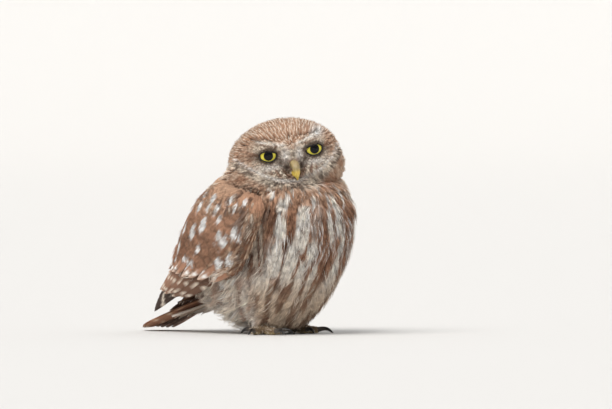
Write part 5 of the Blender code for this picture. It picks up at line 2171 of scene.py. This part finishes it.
@dataclass
class Coats:
    """All the small feathers, piece by piece."""

    groom: Groom
    wing_places: BVHTree = field(init=False)

    def __post_init__(self) -> None:
        """Lays out the ground that the wings cover."""
        along, across = np.meshgrid(np.linspace(0.06, 0.95, 60), np.linspace(0.05, 0.97, 40), indexing="ij")
        points = np.concatenate([WING.at(along, across, side).reshape(-1, 3) for side in (1, -1)])
        quads = patchwork(*along.shape)
        quads = np.concatenate((quads, quads + along.size))
        self.wing_places = BVHTree.FromPolygons(points.tolist(), quads.tolist())

    def under_wing(self, points: Array) -> Array:
        """How far points lie from the wings' ground."""
        return np.array([self.wing_places.find_nearest(row)[3] for row in points.tolist()])

    def clear_of_eyes(self, local: Array) -> Array:
        """Tells which places of the head lie outside the lids and the bill.

        Args:
            local: The places, in the head's frame.

        Returns:
            True for each that is clear.
        """
        clear = np.ones(len(local), bool)
        for side in (1, -1):
            offset = unit(local - HEAD.eye(side))
            gaze, left, top = eye_axes(side)
            ahead = offset @ gaze
            wide = np.degrees(np.arctan2(np.abs(offset @ left), ahead)) / 41.0
            high = np.degrees(np.arctan2(offset @ top, ahead))
            high = np.where(high > 0, high / 20.0, high / 28.5)
            near = np.linalg.norm(local - HEAD.eye(side), axis=1) < 16.0
            clear &= ~((np.hypot(wide, high) < 1.0) & near & (ahead > 0))
        bill = (local[:, 2] < -1.8) & (local[:, 2] > -9.0) & (local[:, 1] < -20.0)
        clear &= ~((np.abs(local[:, 0]) < 1.9) & bill)
        return clear

    def head_colour(self, barbs: Barbs) -> Array:
        """The colours of the head's barbs, which turn to the breast's under the chin."""
        low = step(97.0, 91.0, barbs.points[..., 2] + 3.0 * (barbs.chance - 0.5))
        return mix(PLUMAGE.head(barbs), PLUMAGE.body(barbs), low)

    def strand_colour(self, barbs: Barbs) -> Array:
        """The colours of loose strands: most are white, some dark.

        Args:
            barbs: The points to colour.

        Returns:
            A colour for each point.
        """
        body = PLUMAGE.body(barbs)
        white = mix(Hue.WHITE, Hue.CREAM, step(60.0, 30.0, barbs.points[..., 2]))
        pick = (barbs.chance * 7.0) % 1.0
        high = step(12.0, 40.0, barbs.points[..., 2])
        colour = mix(body, white, (pick < 0.55) * 0.9)
        return mix(colour, Hue.UMBER, (pick > 0.78) * 0.85 * high)

    def build(self, material: Material) -> None:
        """Makes every coat piece."""
        self.head(material)
        self.body(material)

    def head(self, material: Material) -> None:
        """Makes the head's coat.

        Args:
            material: Its finish.
        """
        roots, normals = scatter(self.groom.skin, 1.3, 11)
        keep = on_head(roots)
        roots, normals = roots[keep], normals[keep]
        local = HEAD.inward(roots)
        keep = self.clear_of_eyes(local)
        roots, normals, local = roots[keep], normals[keep], local[keep]
        gap = np.hypot(np.abs(local[:, 0]) - HEAD.eye_spread, local[:, 2] - HEAD.eye_height)
        ahead = local[:, 1] < -11.0
        low = local[:, 2] < 11.5 + 0.1 * np.abs(local[:, 0])
        inner = ahead & low & ((gap < 11.0) | (np.hypot(local[:, 0], local[:, 2]) < 9.0)) & (local[:, 2] > -12)
        disc = ahead & low & ~inner & (local[:, 2] > -16)
        ruff = ~(inner | disc) & (local[:, 2] < -2)
        hanging = Tuft((9.0, 13.0), 1.9, 9, 0.24, 3.8, stations=(0.0, 0.35, 0.7, 1.0), ruffle=0.18, stray=0.12)
        thin = np.random.default_rng(78).random(len(roots)) < 0.62
        behind = local[:, 1] > 2.0
        parting = (np.abs(local[:, 0]) < 9.0) & (local[:, 1] < -18.0)
        parting &= (local[:, 2] > 2.0) & (local[:, 2] < 13.0)
        crown = ~(inner | disc | ruff)
        even, late = (0.0, 0.5, 1.0), (0.0, 0.55, 1.0)
        kinds = (
            ("face_plumage", inner, Tuft((2.8, 4.2), 0.95, 7, 0.17, 1.1, late, ruffle=0.2)),
            ("disc_plumage", disc, Tuft((4.6, 6.6), 1.3, 7, 0.22, 1.9, even, ruffle=0.18)),
            ("crown_plumage", crown, Tuft((5.5, 7.5), 1.4, 7, 0.24, 3.7, even, ruffle=0.12)),
            ("parting_plumage", parting, Tuft((3.6, 5.4), 1.2, 9, 0.17, 2.0, late, stray=0.9)),
            ("ruff_plumage", ruff & thin & ~behind, hanging),
            ("nape_plumage", ruff & thin & behind, hanging),
        )
        for number, (name, mask, tuft) in enumerate(kinds):
            coat = Coat(name)
            homes = head_places(roots[mask]) * 0.45 + 0.5
            self.groom.grow(coat, tuft, roots[mask], normals[mask], 21 + number, self.head_colour, homes)
            coat.make(material, "head_plumage")

    def body(self, material: Material) -> None:
        """Makes the body's coat.

        Args:
            material: Its finish.
        """
        roots, normals = scatter(self.groom.skin, 1.75, 12)
        spare = np.random.default_rng(76).random(len(roots))
        seen = (np.abs(around(roots)) < 78) & (roots[:, 2] > 14)
        keep = ((spare < 0.52) | seen) & ~on_head(roots) & (roots[:, 2] > 4.0)
        roots, normals = roots[keep], normals[keep]
        near, angle = self.under_wing(roots), np.abs(around(roots))
        keep = (near > 4.4) | (roots[:, 2] < 14.0) | (angle > 150) | (angle < 70)
        roots, normals, angle, near, z = roots[keep], normals[keep], angle[keep], near[keep], roots[keep, 2]
        feet = (z < 13.0) & (np.hypot(np.abs(roots[:, 0]) - 17.5, roots[:, 1] - 4.0) < 9.0)
        chest, rest, rear = (angle < 75) & ~feet, (angle >= 75) & ~feet, angle > 128
        draw = np.random.default_rng(77).random(len(roots))
        loose = (angle < 95) & (z > 22) & (z < 100) & (draw < 0.2 + 0.3 * (roots[:, 0] > 5))
        fringe = (near < 9.5) & (((angle < 112) & (z > 22) & (z < 103)) | (z > 84))
        skirt = (angle > 88) & (z < 44) & (draw < 0.5)
        long = Tuft((13.0, 18.0), 2.5, 9, 0.25, 4.6, ruffle=0.14, stray=0.18)
        soft = Tuft((13.0, 18.0), 3.0, 11, 0.26, 4.8, ruffle=0.2, stray=0.15)
        short = Tuft((4.0, 6.0), 1.3, 7, 0.22, 1.5, stations=(0.0, 0.5, 1.0), ruffle=0.2)
        strand = Tuft((15.0, 24.0), 1.3, 4, 0.2, 5.9, ruffle=0.3, stray=0.3)
        collar = Tuft((13.0, 18.0), 3.0, 9, 0.25, 6.6, ruffle=0.2, stray=0.2)
        trim = Tuft((13.0, 19.0), 2.4, 9, 0.24, 6.6, ruffle=0.2, stray=0.14)
        wisp = Tuft((20.0, 32.0), 2.2, 7, 0.2, 9.0, ruffle=0.4, stray=0.35)
        kinds = (
            ("breast_plumage_upper", chest & (z > 66), long, "breast_plumage"),
            ("breast_plumage_lower", chest & (z <= 66) & (z > 34), long, "breast_plumage"),
            ("belly_plumage", chest & (z <= 34), soft, "breast_plumage"),
            ("flank_plumage", rest & ~rear, soft, "breast_plumage"),
            ("rump_plumage", rest & rear, soft, "back_plumage"),
            ("leg_plumage", feet, short, "breast_plumage"),
            ("breast_strands", loose, strand, "breast_plumage"),
            ("neck_plumage", (z > 84) & (draw < 0.8), collar, "breast_plumage"),
            ("wing_edge_plumage", fringe, trim, "breast_plumage"),
            ("flank_wisps", skirt, wisp, "breast_plumage"),
        )
        for number, (name, mask, tuft, slot) in enumerate(kinds):
            coat = Coat(name)
            homes = body_places(roots[mask]) * BODY_SHARE
            colour = self.strand_colour if name in ("breast_strands", "flank_wisps") else PLUMAGE.body
            self.groom.grow(coat, tuft, roots[mask], normals[mask], 31 + number, colour, homes)
            coat.make(material, slot)


@dataclass
class Studio:
    """The pale floor and wall, the soft light and the camera."""

    azimuth: float = -50.0
    elevation: float = 1.0
    distance: float = 5.0
    picture_width: float = 612 * 0.64
    target: tuple[float, float, float] = (9.05, -10.79, 82.9)
    # Name, strength, width in degrees, angle round the bird, angle down from straight above
    lamps: tuple[tuple[str, float, float, float, float], ...] = (
        ("key", 2.35, 46.0, -88.0, 34.0), ("fill", 0.5, 80.0, 60.0, 50.0), ("glint", 0.35, 7.0, -68.0, 38.0),
    )

    def floor(self) -> None:
        """Makes a wide pale bowl: a flat floor that curves up into a wall."""
        profile = [(4.0, 0.0), (9.0, 0.0)]
        bend = np.linspace(0.1, math.pi / 2, 14)
        profile += [(9.0 + 5.0 * math.sin(t), 5.0 - 5.0 * math.cos(t)) for t in bend]
        profile += [(14.0, 9.0)]
        turn = np.linspace(0, 2 * math.pi, 96, endpoint=False)
        rings = np.array([[(r * math.cos(a), r * math.sin(a), z) for a in turn] for r, z in profile])
        sides = len(turn)
        points = np.concatenate((rings.reshape(-1, 3), [(0.0, 0.0, 0.0)]))
        i = np.arange(sides)
        middle = np.stack((np.full(sides, len(points) - 1), i, (i + 1) % sides), -1)
        faces = np.concatenate((middle, bands(len(rings), sides)))
        made = new_object("studio_floor", points / MM - STAND, faces)
        finish = bpy.data.materials.new("pale_paper")
        finish.use_nodes = True
        matt = {"Base Color": (0.68, 0.67, 0.655, 1.0), "Roughness": 0.9, "Specular IOR Level": 0.1}
        Nodes.set(finish.node_tree.nodes["Principled BSDF"], matt)
        made.data.materials.append(finish)

    @staticmethod
    def toward(azimuth: float, elevation: float) -> Vector:
        """The direction from the bird at an angle round it from its front, and above the floor."""
        a, e = math.radians(azimuth), math.radians(elevation)
        return Vector((math.sin(a) * math.cos(e), -math.cos(a) * math.cos(e), math.sin(e)))

    def light(self) -> None:
        """Sets a broad soft light over the bird and a weak sky."""
        world = bpy.data.worlds.new("soft_sky")
        world.use_nodes = True
        Nodes.set(world.node_tree.nodes["Background"], {"Color": (0.93, 0.96, 1.0, 1.0), "Strength": 0.6})
        bpy.context.scene.world = world
        for name, energy, spread, turn, tilt in self.lamps:
            lamp = bpy.data.lights.new(name, "SUN")
            lamp.energy = energy
            lamp.angle = math.radians(spread)
            lamp.color = (1.0, 0.975, 0.94)
            made = bpy.data.objects.new(name, lamp)
            bpy.context.scene.collection.objects.link(made)
            back = self.toward(turn, 90 - tilt)
            made.rotation_euler = back.to_track_quat("Z", "Y").to_euler()
            made.location = back * 5.0

    def camera(self) -> None:
        """Sets the camera at the photograph's angle, with its framing."""
        data = bpy.data.cameras.new("camera")
        data.sensor_width = 36.0
        data.lens = 36.0 * self.distance / (self.picture_width * MM)
        data.clip_end = 200.0
        made = bpy.data.objects.new("camera", data)
        bpy.context.scene.collection.objects.link(made)
        back = self.toward(self.azimuth, self.elevation)
        target = Vector((np.array(self.target) + STAND) * MM)
        made.location = target + back * self.distance
        made.rotation_euler = back.to_track_quat("Z", "Y").to_euler()
        bpy.context.scene.camera = made
        bpy.context.scene.view_settings.view_transform = "Standard"

    def build(self) -> None:
        """Makes the studio."""
        self.floor()
        self.light()
        self.camera()


def main() -> None:
    """Builds the owl's looks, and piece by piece."""
    logging.basicConfig(level=logging.INFO, format="%(message)s", stream=sys.stdout)
    Studio().build()
    soft = Finish("soft_feathers", roughness=0.85, specular=0.15, speckle=0.1, bump=0.1).build()
    broad = Finish("broad_feathers", roughness=0.7, specular=0.25, speckle=0.1, bump=0.3, barbs=7.5).build()
    flesh = Finish("feathered_skin", roughness=0.9, specular=0.1, speckle=0.25).build()
    wet = Finish("wet_eye", roughness=0.1, specular=0.12, coat=0.22, speckle=0.04, bump=0.0).build()
    dark = Finish("dark_lid", roughness=0.5, specular=0.3, speckle=0.2, bump=0.3).build()
    horn = Finish("bill_horn", roughness=0.35, specular=0.45, speckle=0.08, bump=0.1, subsurface=0.08).build()
    even = (1.0, 1.0, 1.0)
    scaly = Finish("scaly_toes", roughness=0.6, specular=0.35, speckle=0.2, bump=0.5, stretch=even).build()
    claw = Finish("dark_claw", roughness=0.3, specular=0.5, speckle=0.12, bump=0.1).build()
    skin = Skin().build(flesh)
    Coats(Groom(skin)).build(soft)
    for side in (1, -1):
        Wing(side).build(broad)
        Wing(side).coverts(soft)
    Tail().build(broad)
    parts = HeadParts()
    for side in (1, -1):
        parts.eye(side, wet)
        parts.lid(side, dark)
    parts.bill(horn)
    feet = Feet()
    for side in (1, -1):
        foot = feet.foot(side, scaly)
        for name, angle, length, reach in feet.of(side):
            feet.claw(side, name, angle, length, reach, claw)
        bristles = Bristles("toe_bristles_" + limb(side), density=4.0e5, length=0.0022, radius=0.00016)
        bristles.build(foot, soft, "foot_skin")


if __name__ == "__main__":
    main()
